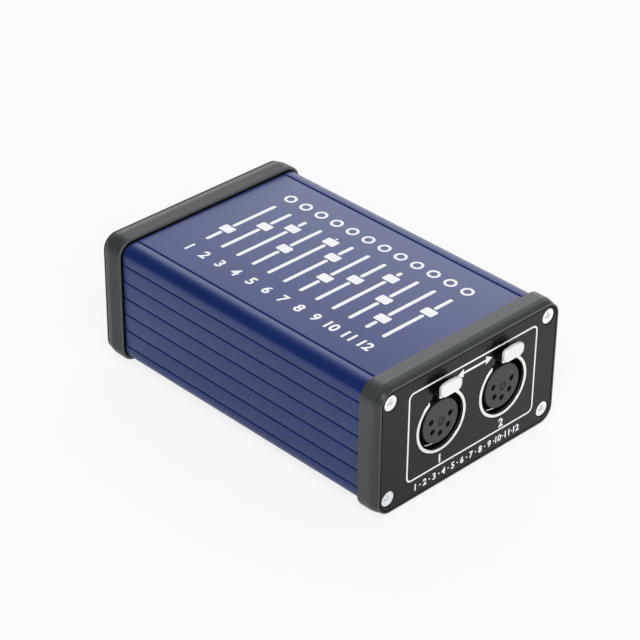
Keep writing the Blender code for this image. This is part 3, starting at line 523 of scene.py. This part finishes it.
def bezelShape(b):
    # The case's rounded outline is drawn at each of the section's offsets; the rim's
    # round tabs, one behind each screw, are turned rings let into the flange
    rows = []
    for out, forward in bezelSection(b):
        corner = extrusion.radius + out
        loop = box2d(-caseHalf - out, caseHalf + out, -out, caseHeight + out, corner, 16, 0.4)
        rows.append(onY(loop, -caseEnd - forward))
    shape = [grid(np.stack(rows), wrapRows=True, wrapCols=True)]
    back = -caseEnd - b.gap - b.tabInset
    front = -caseEnd - b.flangeFront + b.tabInset
    hole, outer = b.tabHole, b.tabRadius
    ring = turned([(hole, back), (outer, back), (outer, front), (hole, front), (hole, back)], 32)
    for x, z in screwSpots:
        shape += moved(ring, x, 0, z)
    return shape


# the front moulding has painted shade on its slope; the rear one is in painted shade, with painted
# light on its edge
for (end, isRear), material in zip(bothEnds, (frontAbsSlopeShadeToBead, rearAbsShadeAndEdgeLight)):
    shape = moved(bezelShape(bezel), aboutFace=isRear)
    makePiece(f"bezel_{end}", shape, material, [f"{end}_bezel"], sharp=40)
print("bezels made")


# End panels
panel = Values(
    margin=0.45, thick=1.2, bevel=0.08, seat=2.88, seatRim=0.37, socketHole=11.15,
    notchHalf=4.4, notchTop=14.7, notchRadius=0.5, portHalf=6.3, portLow=9.6, portHigh=21.2,
    portRadius=0.6,
)


def panelLoop(p):
    # the case's rounded outline, less the margin
    half, top, radius = (size - p.margin for size in (caseHalf, caseHeight, extrusion.radius))
    return box2d(-half, half, p.margin, top, radius, 14, 0.4)


def socketHole(p, x, z):
    # a round hole whose top runs up into a notch for the latch's neck
    opening = degrees(asin(p.notchHalf / p.socketHole))
    ring = arc(0, 0, p.socketHole, 90 + opening, 450 - opening, 96)
    radius = p.notchRadius
    top = arc(p.notchHalf - radius, p.notchTop - radius, radius, 0, 90, 4)
    return np.vstack([ring, top, top[::-1] * [-1, 1]]) + [x, z]


def panelShape(p, openings):
    # A plate cut by its openings and by a countersunk seat for each screw: straight at the
    # face, then narrowing at 45 degrees
    front, back = -panelFace, p.thick - panelFace
    throat = p.seat - (p.thick - p.seatRim)
    seat = turned([(p.seat, front), (p.seat, front + p.seatRim), (throat, back)])
    loops = [panelLoop(p)] + openings
    shape = [wall(loop, front, back) for loop in loops]
    for at, radius in ((front, p.seat), (back, throat)):
        seats = [circle(x, z, radius, 48) for x, z in screwSpots]
        shape.append(cap(*[onY(loop, at) for loop in loops + seats]))
    for x, z in screwSpots:
        shape += moved(seat, x, 0, z)
    return shape


socketHoles = [socketHole(panel, *socketAxes[letter]) for letter in "ab"]
portHole = box2d(-panel.portHalf, panel.portHalf, panel.portLow, panel.portHigh, panel.portRadius, 6)
for (end, isRear), openings in zip(bothEnds, (socketHoles, [portHole])):
    shape = moved(panelShape(panel, openings), aboutFace=isRear)
    makePiece(f"panel_{end}", shape, panelPaint, [f"{end}_panel"], bevel=panel.bevel)
print("panels made")


# Screws: a countersunk head with a cross recess, and a coarse thread
screw = Values(
    head=2.6, soft=0.07, sunk=0.32, rim=0.15, cone=1.3, cross=1.5, wing=0.36, flare=0.12,
    wallRun=0.1, tailRun=0.45, depth=0.8, shank=1.12, thread=0.18, pitch=0.8, length=10.9,
    point=1.6,
)


def screwShape(s):
    # Head face: a flat less a cross whose four wings are where one coordinate is small and
    # the other is inside the cross, each with sloping ends
    rows, cols, steps = 44, 96, 90
    share = np.linspace(0, 1, rows)[:, None]
    turn = np.radians(np.arange(cols) * 360 / cols)[None, :]
    radius = (s.head - s.soft) * share
    x, z = radius * np.cos(turn), radius * np.sin(turn)
    across, along = np.minimum(np.abs(x), np.abs(z)), np.maximum(np.abs(x), np.abs(z))
    flare = s.flare * (1 - along / s.cross)
    side = np.clip((s.wing - across + flare) / s.wallRun, 0, 1)
    tail = np.clip((s.cross - along) / s.tailRun, 0, 1)
    face = np.stack([x, s.sunk + s.depth * side * tail, z], axis=-1)
    # Rim and cone, turned
    bend = np.radians(np.linspace(0, 90, 5))
    low = s.sunk + s.rim
    neck = low + s.cone
    rim = np.c_[s.head - s.soft + s.soft * np.sin(bend), s.sunk + s.soft * (1 - np.cos(bend))]
    outside = turned(np.vstack([rim, [(s.head, low), (s.shank, neck)]]), cols)
    # Thread: radius = shank + thread * triangle wave of (depth / pitch - turn), tapering at the tip
    depth = np.linspace(neck, s.sunk + s.length, steps)[:, None]
    turn = np.arange(cols)[None, :] / cols
    wave = np.abs((depth / s.pitch - turn) % 1 - 0.5) * 2
    taper = np.clip((s.sunk + s.length - depth) / s.point, 0.0, 1)
    radius = s.shank * taper + s.thread * wave * taper * np.clip((depth - neck) / s.pitch, 0, 1)
    angle = turn * 2 * pi
    shank = np.stack([radius * np.cos(angle), depth + 0 * turn, radius * np.sin(angle)], axis=-1)
    return [grid(face, wrapCols=True)] + outside + [grid(shank, wrapCols=True)]


for end, isRear in bothEnds:
    for corner in screwCorners:
        x, _, z = middleOf(f"{end}_screw_{corner}")
        shape = moved(screwShape(screw), x, panelFace if isRear else -panelFace, z, aboutFace=isRear)
        # the recesses take painted light from the plating's material
        makePiece(f"screw_{end}_{corner}", shape, zincPaintedRecessLight, [f"{end}_screw_{corner}"], sharp=50)
print("screws made")


# Rubber feet with a dished sole
foot = Values(
    outer=5.0, height=2.05, top=0.15, draft=0.2, soft=0.5, flat=1.6, hollow=2.0, lift=0.12, dish=0.18,
)


def footShape(f):
    # a turned profile: flat top, drafted side, round lower rim, and the hollow under it
    outer, waist = f.outer, f.outer - f.draft
    bend = arc(waist - f.soft, f.soft, f.soft, 0, -80, 6)
    side = [(0.0, f.height), (outer - f.top, f.height), (outer, f.height - f.draft), (waist, f.soft)]
    sole = [(outer - f.flat, 0.0), (outer - f.hollow, f.lift), (0.0, f.dish)]
    return turned([*side, *bend, *sole], 64, put=onZ)


for end, _ in bothEnds:
    for side in ("left", "right"):
        node = f"foot_{end}_{side}"
        x, y, _ = middleOf(node)
        base = (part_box(node)[0].z - datum[2]) / mm
        makePiece(f"rubber_{node}", moved(footShape(foot), x, y, base), footRubber, [node])
print("feet made")


# Sockets, about each one's axis, with depth measured from the panel's face
socket = Values(
    ring=10.86, proud=0.15, edge=0.13, bore=9.75, boreDepth=15.0, blockHalf=12.3,
    blockLow=-12.2, blockHigh=17.0, blockFront=1.45, blockBack=16.5, slotHalf=5.6, slotTop=16.0,
    slotDepth=13.0, backHole=6.2,
)


def shellShape(s):
    # The casting as flat steps joined by walls: ring in front, block behind it, the
    # latch's slot up through both, and the bore with a smaller hole in its floor. A circle
    # is cut off at the slot's sides, at the angle whose cosine is half the slot over it.
    ring, bore, edge = s.ring, s.bore, s.edge
    ringOpen, boreOpen = (degrees(acos(s.slotHalf / radius)) for radius in (ring, bore))
    rims = ((ring, ringOpen), (ring - edge, ringOpen), (bore, boreOpen), (bore + edge, boreOpen))
    outer, outerEdge, inner, innerEdge = (arc(0, 0, r, 180 - gap, 360 + gap, 120) for r, gap in rims)
    for rim in (outerEdge, innerEdge):
        rim[[0, -1], 0] = [-s.slotHalf, s.slotHalf]
    top = [(s.slotHalf, s.slotTop), (-s.slotHalf, s.slotTop)]
    roof = arc(0, 0, bore, boreOpen, 180 - boreOpen, 40)
    keyhole, fullBore = np.vstack([inner, top]), np.vstack([inner, roof[1:-1]])
    block = box2d(-s.blockHalf, s.blockHalf, s.blockLow, s.blockHigh, 1.0, 6)
    floorHole = circle(0, 0, s.backHole, 48)
    side = np.vstack([outer, inner[::-1]])
    face = onY(np.vstack([outerEdge, innerEdge[::-1]]), -s.proud)
    return [
        loft(onY(side, s.blockFront), onY(side, edge - s.proud), face),
        cap(face),
        cap(onY(block, s.blockFront), onY(np.vstack([outer, top]), s.blockFront)),
        wall(block, s.blockFront, s.blockBack),
        wall(keyhole, s.blockFront, s.slotDepth),
        cap(onY(np.vstack([roof, top[::-1]]), s.slotDepth)),
        wall(fullBore, s.slotDepth, s.boreDepth),
        cap(onY(fullBore, s.boreDepth), onY(floorHole, s.boreDepth)),
        wall(floorHole, s.boreDepth, s.blockBack),
        cap(onY(block, s.blockBack), onY(floorHole, s.blockBack)),
    ]


insert = Values(
    radius=7.75, recess=0.15, rim=0.5, shoulder=14.7, spigot=5.9, back=19.0, circle=4.35,
    angles=(-105.7, -52.0, 0.0, 52.0, 105.7), hole=1.0, funnel=0.13, throat=2.0, bore=1.35,
    boss=1.65, sunk=0.2, bar=0.22, barReach=1.25,
)


def contactSpots(i):
    # (x, z) of the five contacts, 0 degrees being straight down
    turn = np.radians(np.array(i.angles) - 90)
    return i.circle * np.c_[np.cos(turn), np.sin(turn)]


def insertShape(i):
    # the face with its funnelled holes and a sunk round boss, then the turned outside
    face, rim, funnel, back = i.recess, i.rim, i.funnel, i.back
    bend = np.radians(np.linspace(0, 90, 7))
    outside = [(i.radius - rim * (1 - np.sin(a)), face + rim * (1 - np.cos(a))) for a in bend]
    outside += [(i.radius, i.shoulder), (i.spigot, i.shoulder), (i.spigot, back)]
    shape = turned(outside, 96)
    profile = [(i.hole + funnel, face), (i.hole, face + funnel), (i.hole, i.throat),
               (i.bore, i.throat), (i.bore, back)]
    mouths, backs = [], []
    for x, z in contactSpots(i):
        shape += moved(turned(profile, 24), x, 0, z)
        mouths.append(onY(circle(x, z, i.hole + funnel, 24), face))
        backs.append(onY(circle(x, z, i.bore, 24), back))
    floor = face + i.sunk
    shape += turned([(i.boss, face), (i.boss - 0.04, floor), (0, floor)])
    rimLoop = circle(0, 0, i.radius - rim, 96)
    shape.append(cap(onY(rimLoop, face), onY(circle(0, 0, i.boss, 48), face), *mouths))
    shape.append(cap(onY(circle(0, 0, i.spigot, 96), back), *backs))
    bar, reach = i.bar, i.barReach
    cross = [(bar, bar), (bar, reach), (-bar, reach), (-bar, bar), (-reach, bar), (-reach, -bar),
             (-bar, -bar), (-bar, -reach), (bar, -reach), (bar, -bar), (reach, -bar), (reach, bar)]
    return shape + prism([cross], face + 0.05, floor + 0.05)


contact = Values(
    radius=1.0, mouth=0.55, lip=0.2, front=2.4, cup=9.0, back=18.0, soft=0.15, tail=0.35,
    tailDepths=(22.6, 20.6, 20.6, 20.6, 22.6), tailRoot=0.5, tailThrough=0.5, bend=1.0,
)


def contactShape(c, tailDepth, drop):
    # a turned sleeve with a rounded mouth, and a round tail bent down behind it
    radius, mouth, front, back, lip, soft = c.radius, c.mouth, c.front, c.back, c.lip, c.soft
    sleeve = turned([
        (0, c.cup), (mouth, c.cup), (mouth, front + lip / 2), (mouth + lip / 2, front),
        (radius - lip, front), (radius, front + lip), (radius, back - soft), (radius - soft, back),
        (0, back),
    ], 24)
    bend = arc(tailDepth - c.bend, -c.bend, c.bend, 90, 0, 8)
    path = onX(np.vstack([[(back - c.tailRoot, 0.0)], bend, [(tailDepth, drop)]]), 0.0)
    return sleeve + tube(path, [1.0, 0.0, 0.0], c.tail)


leaf = Values(ends=((233, 9.35), (266, 8.4)), thick=0.28, front=1.5, back=14.7, soft=1.0, softShare=0.2)


def leafShape(f):
    # A thin flat strip standing across the gap as a chord between two (angle, radius)
    # points; its front edge falls back at both ends by a quarter circle
    first, last = (radius * np.array([cos(radians(a)), sin(radians(a))]) for a, radius in f.ends)
    share = np.linspace(0, 1, 25)
    line = first + (last - first) * share[:, None]
    along = unit(last - first)
    across = np.array([-along[1], along[0]]) * f.thick / 2
    level = np.clip(np.minimum(share, 1 - share) / f.softShare, 0, 1)
    start = f.front + f.soft * (1 - np.sqrt(1 - (1 - level) ** 2))
    rows = []
    for side, depth in ((across, start), (-across, start), (-across, f.back), (across, f.back)):
        rows.append(np.c_[line[:, 0] + side[0], depth + 0 * share, line[:, 1] + side[1]])
    strip = np.stack(rows)
    return [grid(strip, wrapRows=True)] + [(strip[:, end], np.array([[0, 1, 2, 3]])) for end in (0, -1)]


latch = Values(
    pivotDepth=10.5, pivotHeight=12.1, thick=1.4, tabHalf=4.45, tabLow=11.9, tabHigh=16.75,
    tabArch=0.25, shoulderDrop=0.6, tabRadii=(2.0, 1.5, 14.0, 1.5, 2.0), tabSoft=0.32,
    crown=0.06, proud=3.9, neckHalf=3.9, barrel=1.8, barrelHalf=5.2, barrelSoft=0.2,
    pinHole=0.95, hook=(2.2, 3.6, 6.0), hookLow=8.7, hookHalf=2.2, edge=0.15,
)


def latchShape(t):
    # Thumb tab: an arched outline with rounded rims and a slightly crowned face
    half, shoulder, tabBack = t.tabHalf, t.tabHigh - t.shoulderDrop, t.thick - t.proud
    right = [(half, t.tabLow), (half, shoulder)]
    corners = right + [(0.0, t.tabHigh + t.tabArch)] + [(-x, z) for x, z in right[::-1]]
    outline = softCorners(corners, t.tabRadii, steps=8)
    shape = slab(outline, -t.proud, tabBack, t.tabSoft, crown=t.crown)
    # Neck with a web behind the tab, then the hook: side outlines in (depth, height)
    bottom, top = t.pivotHeight - t.thick / 2, t.pivotHeight + t.thick / 2
    neck = [(tabBack - 0.4, bottom), (t.pivotDepth, bottom), (t.pivotDepth, top), (tabBack + 1.4, top),
            (tabBack + 0.4, top + 1.2), (tabBack - 0.4, top + 1.5)]
    neckLoop = softCorners(neck, [0.3, 0.2, 0.2, 1.2, 0.5, 0.2])
    shape += slab(neckLoop, -t.neckHalf, t.neckHalf, t.edge, put=onX, steps=3)
    low, high, (near, far, root) = t.hookLow, bottom + 0.4, t.hook
    hook = [(near, high), (near, low), (far, low), (root, high)]
    hookLoop = softCorners(hook, [0.1, 0.25, 0.4, 0.1], 4)
    shape += slab(hookLoop, -t.hookHalf, t.hookHalf, t.edge, put=onX, steps=3)
    # Barrel on the pin
    radius, reach, soft = t.barrel, t.barrelHalf, t.barrelSoft
    end = [(t.pinHole, reach), (radius - soft, reach), (radius, reach - soft)]
    profile = [(r, -x) for r, x in end] + end[::-1] + [(t.pinHole, -reach)]
    return shape + moved(turned(profile, 40, put=onX), 0, t.pivotDepth, t.pivotHeight)


pin = Values(radius=0.8, reach=7.9, chamfer=0.2)


def pinShape(p):
    # a turned rod along x with chamfered ends
    end = [(0, p.reach), (p.radius - p.chamfer, p.reach), (p.radius, p.reach - p.chamfer)]
    return turned([(r, -x) for r, x in end] + end[::-1], 32, put=onX)


spring = Values(radius=1.4, wire=0.2, turns=3.5, depth=5.8, low=13.25, high=15.55, flat=0.75)


def springShape(s, steps=180):
    # A helix whose height climbs only over its middle turns, so that its ends close up flat
    share = np.linspace(0, 1, steps)
    angle = 2 * pi * (s.turns + 2 * s.flat) * share
    climb = np.clip((share - 0.14) / 0.72, 0, 1)
    radial = np.c_[np.cos(angle), np.sin(angle), np.zeros(steps)]
    path = s.radius * radial + [0, s.depth, 0]
    path[:, 2] = s.low + (s.high - s.low) * climb
    return tube(path, radial, s.wire)


boardUnder = middleOf("circuit_board")[2] - extrusion.boardThick / 2
for letter in "ab":
    axisX, axisZ = socketAxes[letter]
    at = dict(x=axisX, y=-panelFace, z=axisZ)
    casting = moved(shellShape(socket), **at)
    # the casting's bore is painted black as shade
    makePiece(f"socket_casting_{letter}", casting, nickelWithPaintedBoreShade, [f"socket_shell_{letter}"], sharp=30)
    moulding = moved(insertShape(insert), **at)
    # the insert's bores and sunk boss carry painted shade
    makePiece(f"socket_face_{letter}", moulding, insertPaintedBoreShade, [f"socket_insert_{letter}"], sharp=30)
    for number, (x, z) in enumerate(contactSpots(insert), 1):
        drop = boardUnder - contact.tailThrough - axisZ - z
        sleeve = contactShape(contact, contact.tailDepths[number - 1], drop)
        sleeve = moved(sleeve, axisX + x, -panelFace, axisZ + z)
        node = f"contact_{letter}{number}"
        makePiece(f"female_{node}", sleeve, goldContact, [node])
    strip = moved(leafShape(leaf), **at)
    makePiece(f"earth_spring_{letter}", strip, satinNickel, [f"earth_leaf_{letter}"])
    lever, body = moved(latchShape(latch), **at), f"latch_{letter}"
    # the lever behind the tab is painted black as shade
    makePiece(f"latch_tab_{letter}", lever, tabNickelPaintedLeverShade, [f"latch_lever_{letter}"], body=body, sharp=40)
    rod = moved(pinShape(pin), axisX, latch.pivotDepth - panelFace, axisZ + latch.pivotHeight)
    makePiece(f"hinge_pin_{letter}", rod, springSteel, [f"latch_pin_{letter}"])
    helix = moved(springShape(spring), **at)
    coil = makePiece(f"return_spring_{letter}", helix, springSteel, [f"latch_spring_{letter}"])
    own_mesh(coil)
print("sockets made")


# USB port, about the middle of its mouth, with depth measured from its front edge
port = Values(
    half=6.0, rise=5.5, sheet=0.45, depth=16.0, fold=0.35, proud=0.3, mouthHalf=4.25,
    mouthRise=3.9, chamfer=1.6, legAt=11.0, legHalf=0.8, legDrop=13.9, coreGap=0.25,
    pocketDepth=9.5,
)


def portMouth(p, margin=0.0):
    # the square opening with its two upper corners cut off
    x, z, cut = p.mouthHalf + margin, p.mouthRise + margin, p.chamfer
    corners = [(x, -z), (x, z - cut), (x - cut, z), (cut - x, z), (-x, z - cut), (-x, -z)]
    return softCorners(corners, [0.3, 0.15, 0.15, 0.15, 0.15, 0.3], 4)


def sheetShape(p):
    # folded sheet: a tube with a rounded front edge, a front face round the mouth, two legs
    half, rise, sheet, depth, fold = p.half, p.rise, p.sheet, p.depth, p.fold
    outer = box2d(-half, half, -rise, rise, 0.8, 6)
    inner = box2d(sheet - half, half - sheet, sheet - rise, rise - sheet, 0.35, 6)
    mouth, lip = portMouth(p, 0.08), portMouth(p)
    bend = np.radians(np.linspace(0, 90, 6))
    rows = [onY(inset(outer, fold * (1 - np.sin(a))), fold * (1 - np.cos(a))) for a in bend]
    shape = [
        loft(*rows, onY(outer, depth)),
        cap(rows[0], onY(mouth, 0.0)),
        loft(onY(mouth, 0.0), onY(lip, 0.08), onY(lip, sheet)),
        cap(onY(inner, sheet), onY(lip, sheet)),
        wall(inner, sheet, depth),
        cap(onY(outer, depth), onY(inner, depth)),
    ]
    for side in (-1, 1):
        centre = side * (half - sheet / 2)
        near, far = p.legAt - p.legHalf, p.legAt + p.legHalf
        leg = box2d(near, far, rise - p.legDrop, 0.4 - rise, 0.2, 3)
        shape += slab(leg, centre - 0.2, centre + 0.2, 0.05, put=onX, steps=2)
    return shape


def coreShape(p):
    # a moulded block with the mouth's pocket in it, and a tongue with four contact channels
    x, z = p.half - p.sheet - p.coreGap, p.rise - p.sheet - p.coreGap
    block, pocket = box2d(-x, x, -z, z, 0.25, 4), portMouth(p, 0.1)
    front, floor, back = p.sheet + p.coreGap, p.pocketDepth, p.depth - p.coreGap
    above = [(0.0, 1.6), (0.5, 1.6), (0.5, 1.1), (2.0, 1.1), (2.0, 1.6), (2.7, 1.6), (2.8, 1.5)]
    tongue = mirroredLoop(above + [(x, -z) for x, z in above[::-1]])
    return prism([tongue], 1.0, floor + 0.4) + [
        cap(onY(block, front), onY(pocket, front)),
        wall(pocket, front, floor),
        cap(onY(pocket, floor)),
        wall(block, front, back),
        cap(onY(block, back)),
    ]


atPort = dict(y=panelFace + port.proud, z=(panel.portLow + panel.portHigh) / 2, aboutFace=True)
makePiece("port_shell", moved(sheetShape(port), **atPort), satinNickel, ["usb_shell"])
makePiece("port_core", moved(coreShape(port), **atPort), insertPbt, ["usb_core"])
# Nodes that keep their CAD shape take a finish of their own
finishes = {
    boardResist: ["circuit_board"],
    chipEpoxy: ["controller_chip", "driver_chip_a", "driver_chip_b"],
    satinNickel: ["crystal"],
    canAluminium: ["capacitor_1", "capacitor_2"],
    goldContact: ["usb_contact_1", "usb_contact_2", "usb_contact_3", "usb_contact_4"],
}
for material, nodes in finishes.items():
    for node in nodes:
        mesh = bpy.data.objects[node].data
        mesh.materials.clear()
        mesh.materials.append(material)
print("port made")


# White print, sunk a little into what carries it
ink = Values(thick=0.03, sunk=0.01, bold=0.03)


def glyph(text, height):
    # a numeral of the built-in font, centred and scaled to its height and the ink's
    # thickness: points (across, up, thickness) and triangles
    curve = bpy.data.curves.new("numeral", "FONT")
    curve.body = text
    curve.extrude = 0.5
    curve.offset = ink.bold
    curve.resolution_u = 5
    holder = newObject("numeral", curve)
    bpy.context.view_layer.update()
    mesh = bpy.data.meshes.new_from_object(holder)
    mesh.calc_loop_triangles()
    points = np.zeros(len(mesh.vertices) * 3)
    mesh.vertices.foreach_get("co", points)
    points = points.reshape(-1, 3)
    triangles = np.zeros(len(mesh.loop_triangles) * 3, dtype=int)
    mesh.loop_triangles.foreach_get("vertices", triangles)
    bpy.data.objects.remove(holder)
    bpy.data.meshes.remove(mesh)
    low, high = points.min(0), points.max(0)
    points[:, :2] = (points[:, :2] - (low + high)[:2] / 2) * height / (high - low)[1]
    points[:, 2] = (points[:, 2] + 0.5) * (ink.thick + ink.sunk) - ink.sunk
    return points, triangles.reshape(-1, 3)


def numeralOnFront(text, height, x, z):
    # on the front, print reads along x with its head up
    points, triangles = glyph(text, height)
    return [(np.c_[points[:, 0] + x, -points[:, 2] - panelFace, points[:, 1] + z], triangles)]


def numeralOnTop(text, height, x, y):
    # on the top, print reads from the back to the front with its head to the right
    points, triangles = glyph(text, height)
    return [(np.c_[points[:, 1] + x, y - points[:, 0], points[:, 2] + caseHeight], triangles)]


def printOnFront(*loops):
    # outlines as thick as the ink on the front panel's face
    return prism(loops, -panelFace - ink.thick, ink.sunk - panelFace)


def printOnTop(*loops):
    # outlines as thick as the ink on the case's top
    return prism(loops, caseHeight - ink.sunk, caseHeight + ink.thick, onZ)


def frontPrint(p):
    # frame round the sockets, a numeral under each, a line with arrow heads between the
    # latches, and a row of numbers and dots along the bottom
    x0, x1, z0, z1 = p.frame
    line, radius = p.frameLine, p.frameRadius
    shape = printOnFront(
        box2d(x0, x1, z0, z1, radius, 10),
        box2d(x0 + line, x1 - line, z0 + line, z1 - line, radius - line, 10),
    )
    for text, letter in zip("12", "ab"):
        shape += numeralOnFront(text, p.numeral, socketAxes[letter][0], p.numeralZ)
    left, right = p.arrowEnds
    reach, thin = (right - left) / 2, p.arrowLine / 2
    neck = reach - p.arrowTip
    above = [(0.0, thin), (neck, thin), (neck, p.arrowHalf)]
    arrow = mirroredLoop(above + [(reach, 0.0)] + [(x, -z) for x, z in above[::-1]])
    shape += printOnFront(arrow + [(left + right) / 2, p.arrowZ])
    first, last = p.scaleEnds
    for index in range(p.scaleCount):
        x = first + (last - first) * index / (p.scaleCount - 1)
        if index % 2:
            shape += printOnFront(circle(x, p.scaleZ, p.dot, 12))
        else:
            shape += numeralOnFront(str(index // 2 + 1), p.scaleNumeral, x, p.scaleZ)
    return shape


def topPrint(p):
    # a plain bank of channel faders: a ring, a slot with a cap at its level, and a number each
    shape = []
    (x0, x1), thin, half = p.slotEnds, p.slotHalf, p.capHalf
    gap = half + p.capGap
    for index, level in enumerate(p.levels):
        y = p.pitch * ((len(p.levels) - 1) / 2 - index)
        middle = x0 + (x1 - x0) * level
        low, high, broad = middle - half, middle + half, p.capWide
        for near, far, wide in ((x0, middle - gap, thin), (low, high, broad), (middle + gap, x1, thin)):
            shape += printOnTop(box2d(near, far, y - wide, y + wide, thin * 0.9, 4))
        rings = (p.ringRadius, p.ringRadius - p.ringLine)
        shape += printOnTop(*[circle(p.ringX, y, radius, 40) for radius in rings])
        shape += numeralOnTop(str(index + 1), p.numeral, p.numeralX, y)
    return shape


frontInk = Values(
    frame=(-27.5, 30.05, 6.25, 39.15), frameLine=0.6, frameRadius=2.2, numeral=3.2,
    numeralZ=9.0, arrowEnds=(-6.4, 9.2), arrowZ=36.15, arrowLine=0.8, arrowTip=2.8,
    arrowHalf=1.5, scaleCount=23, scaleEnds=(-23.3, 22.7), scaleZ=3.2, scaleNumeral=2.5,
    dot=0.3,
)
topInk = Values(
    levels=(0.3, 0.62, 0.8, 0.46, 0.9, 0.7, 0.36, 0.56, 0.84, 0.5, 0.24, 0.66), pitch=7.3,
    slotEnds=(-15.5, 15.5), slotHalf=0.7, capHalf=1.9, capWide=2.5, capGap=0.6, ringX=22.4,
    ringRadius=2.3, ringLine=0.95, numeral=4.3, numeralX=-22.6,
)
makePiece("print_front", frontPrint(frontInk), whiteInk, slotName="panel_black", sharp=30)
makePiece("print_top", topPrint(topInk), whiteInk, slotName="blue_anodised", sharp=30)
print("print made")


# Floor, light and camera. Each softbox has its place, size and brightness, in metres.
studio = Values(
    floorHalf=4, paperWhite=0.82, glossAlong=(0.5, -0.87, 0.0), glossEnds=(0.04, 0.11),
    room=0.55, roomShaded=0.07, roomColour="#eef7ff",
    shaded=(-0.64, 0.6, 0.48), shadedEnds=(0.62, 0.92),
    softboxes={
        "key softbox": ((0.83, 0.83, 0.58), 1.1, 1.2),
        "fill softbox": ((-0.9, -1.0, 1.3), 1.2, 5.5),
    },
    aim=(0, 0, 0.02),
)
far = studio.floorHalf
floorMesh = bpy.data.meshes.new("floor")
corners = [(-far, -far, 0), (far, -far, 0), (far, far, 0), (-far, far, 0)]
floorMesh.from_pydata(corners, [], [(0, 1, 2, 3)])
floor = newObject("floor", floorMesh)
# Paper that glows white, mostly, to the lens, and to the reflections with a painted glow
# that sets in towards the front. The rest is lit, so the object's shadow stays.
paper, tree, shader, coords = newMaterial("matt white paper", {"Roughness": 0.95, "IOR": 1.45})
fibre = add(tree, "TexNoise", {"Vector": coords, "Scale": perMetre(1.5), "Detail": 2.0})
tone = add(tree, "Mix", {0: fibre, 6: linear("#eeeeee"), 7: linear("#f4f4f4")}, {"data_type": "RGBA"})
fill(shader, {"Base Color": tone.outputs[2]})
path = add(tree, "LightPath").outputs
seen = {0: path["Is Camera Ray"], 1: studio.paperWhite}
lensShare = add(tree, "Math", seen, {"operation": "MULTIPLY"})
forward = add(tree, "VectorMath", {0: coords, 1: studio.glossAlong}, {"operation": "DOT_PRODUCT"})
low, high = studio.glossEnds
gloss = add(tree, "MapRange", {"Value": forward.outputs["Value"], "From Min": low, "From Max": high})
mirrored = {0: path["Is Glossy Ray"], 1: gloss, 2: lensShare}
share = add(tree, "Math", mirrored, {"operation": "MULTIPLY_ADD"})
white = add(tree, "Emission", {"Strength": 1.0})
both = add(tree, "MixShader", {0: share, 1: shader, 2: white})
fill(tree.nodes["Material Output"], {"Surface": both})
floorMesh.materials.append(paper)

# Room light: even all round but for the shaded side behind on the left, and white to the lens
world = bpy.data.worlds.new("studio room")
bpy.context.scene.world = world
world.use_nodes = True
tree = world.node_tree
ray = add(tree, "TexCoord").outputs["Generated"]
towards = add(tree, "VectorMath", {0: ray, 1: studio.shaded}, {"operation": "DOT_PRODUCT"})
low, high = studio.shadedEnds
shading = {"Value": towards.outputs["Value"], "From Min": low, "From Max": high,
           "To Min": studio.room, "To Max": studio.roomShaded}
room = add(tree, "MapRange", shading, {"interpolation_type": "SMOOTHSTEP"})
lensRay = add(tree, "LightPath").outputs["Is Camera Ray"]
strength = add(tree, "MapRange", {"Value": lensRay, "To Min": room, "To Max": 1.0})
tint = {0: lensRay, 6: linear(studio.roomColour), 7: linear("#ffffff")}
colour = add(tree, "Mix", tint, {"data_type": "RGBA"})
fill(tree.nodes["Background"], {"Strength": strength, "Color": colour.outputs[2]})

for name, (place, size, level) in studio.softboxes.items():
    # a square lamp aimed at the object; power = level * pi * area gives it that brightness
    light = bpy.data.lights.new(name, "AREA")
    light.shape = "SQUARE"
    light.size = size
    light.energy = level * pi * size ** 2
    lamp = newObject(name, light)
    lamp.location = place
    lamp.rotation_euler = (Vector(studio.aim) - Vector(place)).to_track_quat("-Z", "Y").to_euler()

# The lens's place in millimetres about the datum, its angles in degrees and focal length
view = Values(place=(-456.07, -460.66, 437.42), azimuth=44.537, drop=32.515, roll=0.733, lens=134.09)
lens = bpy.data.cameras.new("camera")
lens.lens = view.lens
lens.sensor_width = 36
lens.clip_start = 0.05
lens.clip_end = 20
camera = newObject("camera", lens)
turn = Matrix.Rotation(radians(-view.azimuth), 4, "Z")
tilt = Matrix.Rotation(radians(90 - view.drop), 4, "X")
roll = Matrix.Rotation(radians(view.roll), 4, "Z")
place = Vector(np.array(view.place) * mm + datum)
camera.matrix_world = Matrix.Translation(place) @ turn @ tilt @ roll
bpy.context.scene.camera = camera
bpy.context.scene.view_settings.view_transform = "Standard"
print("stage made")
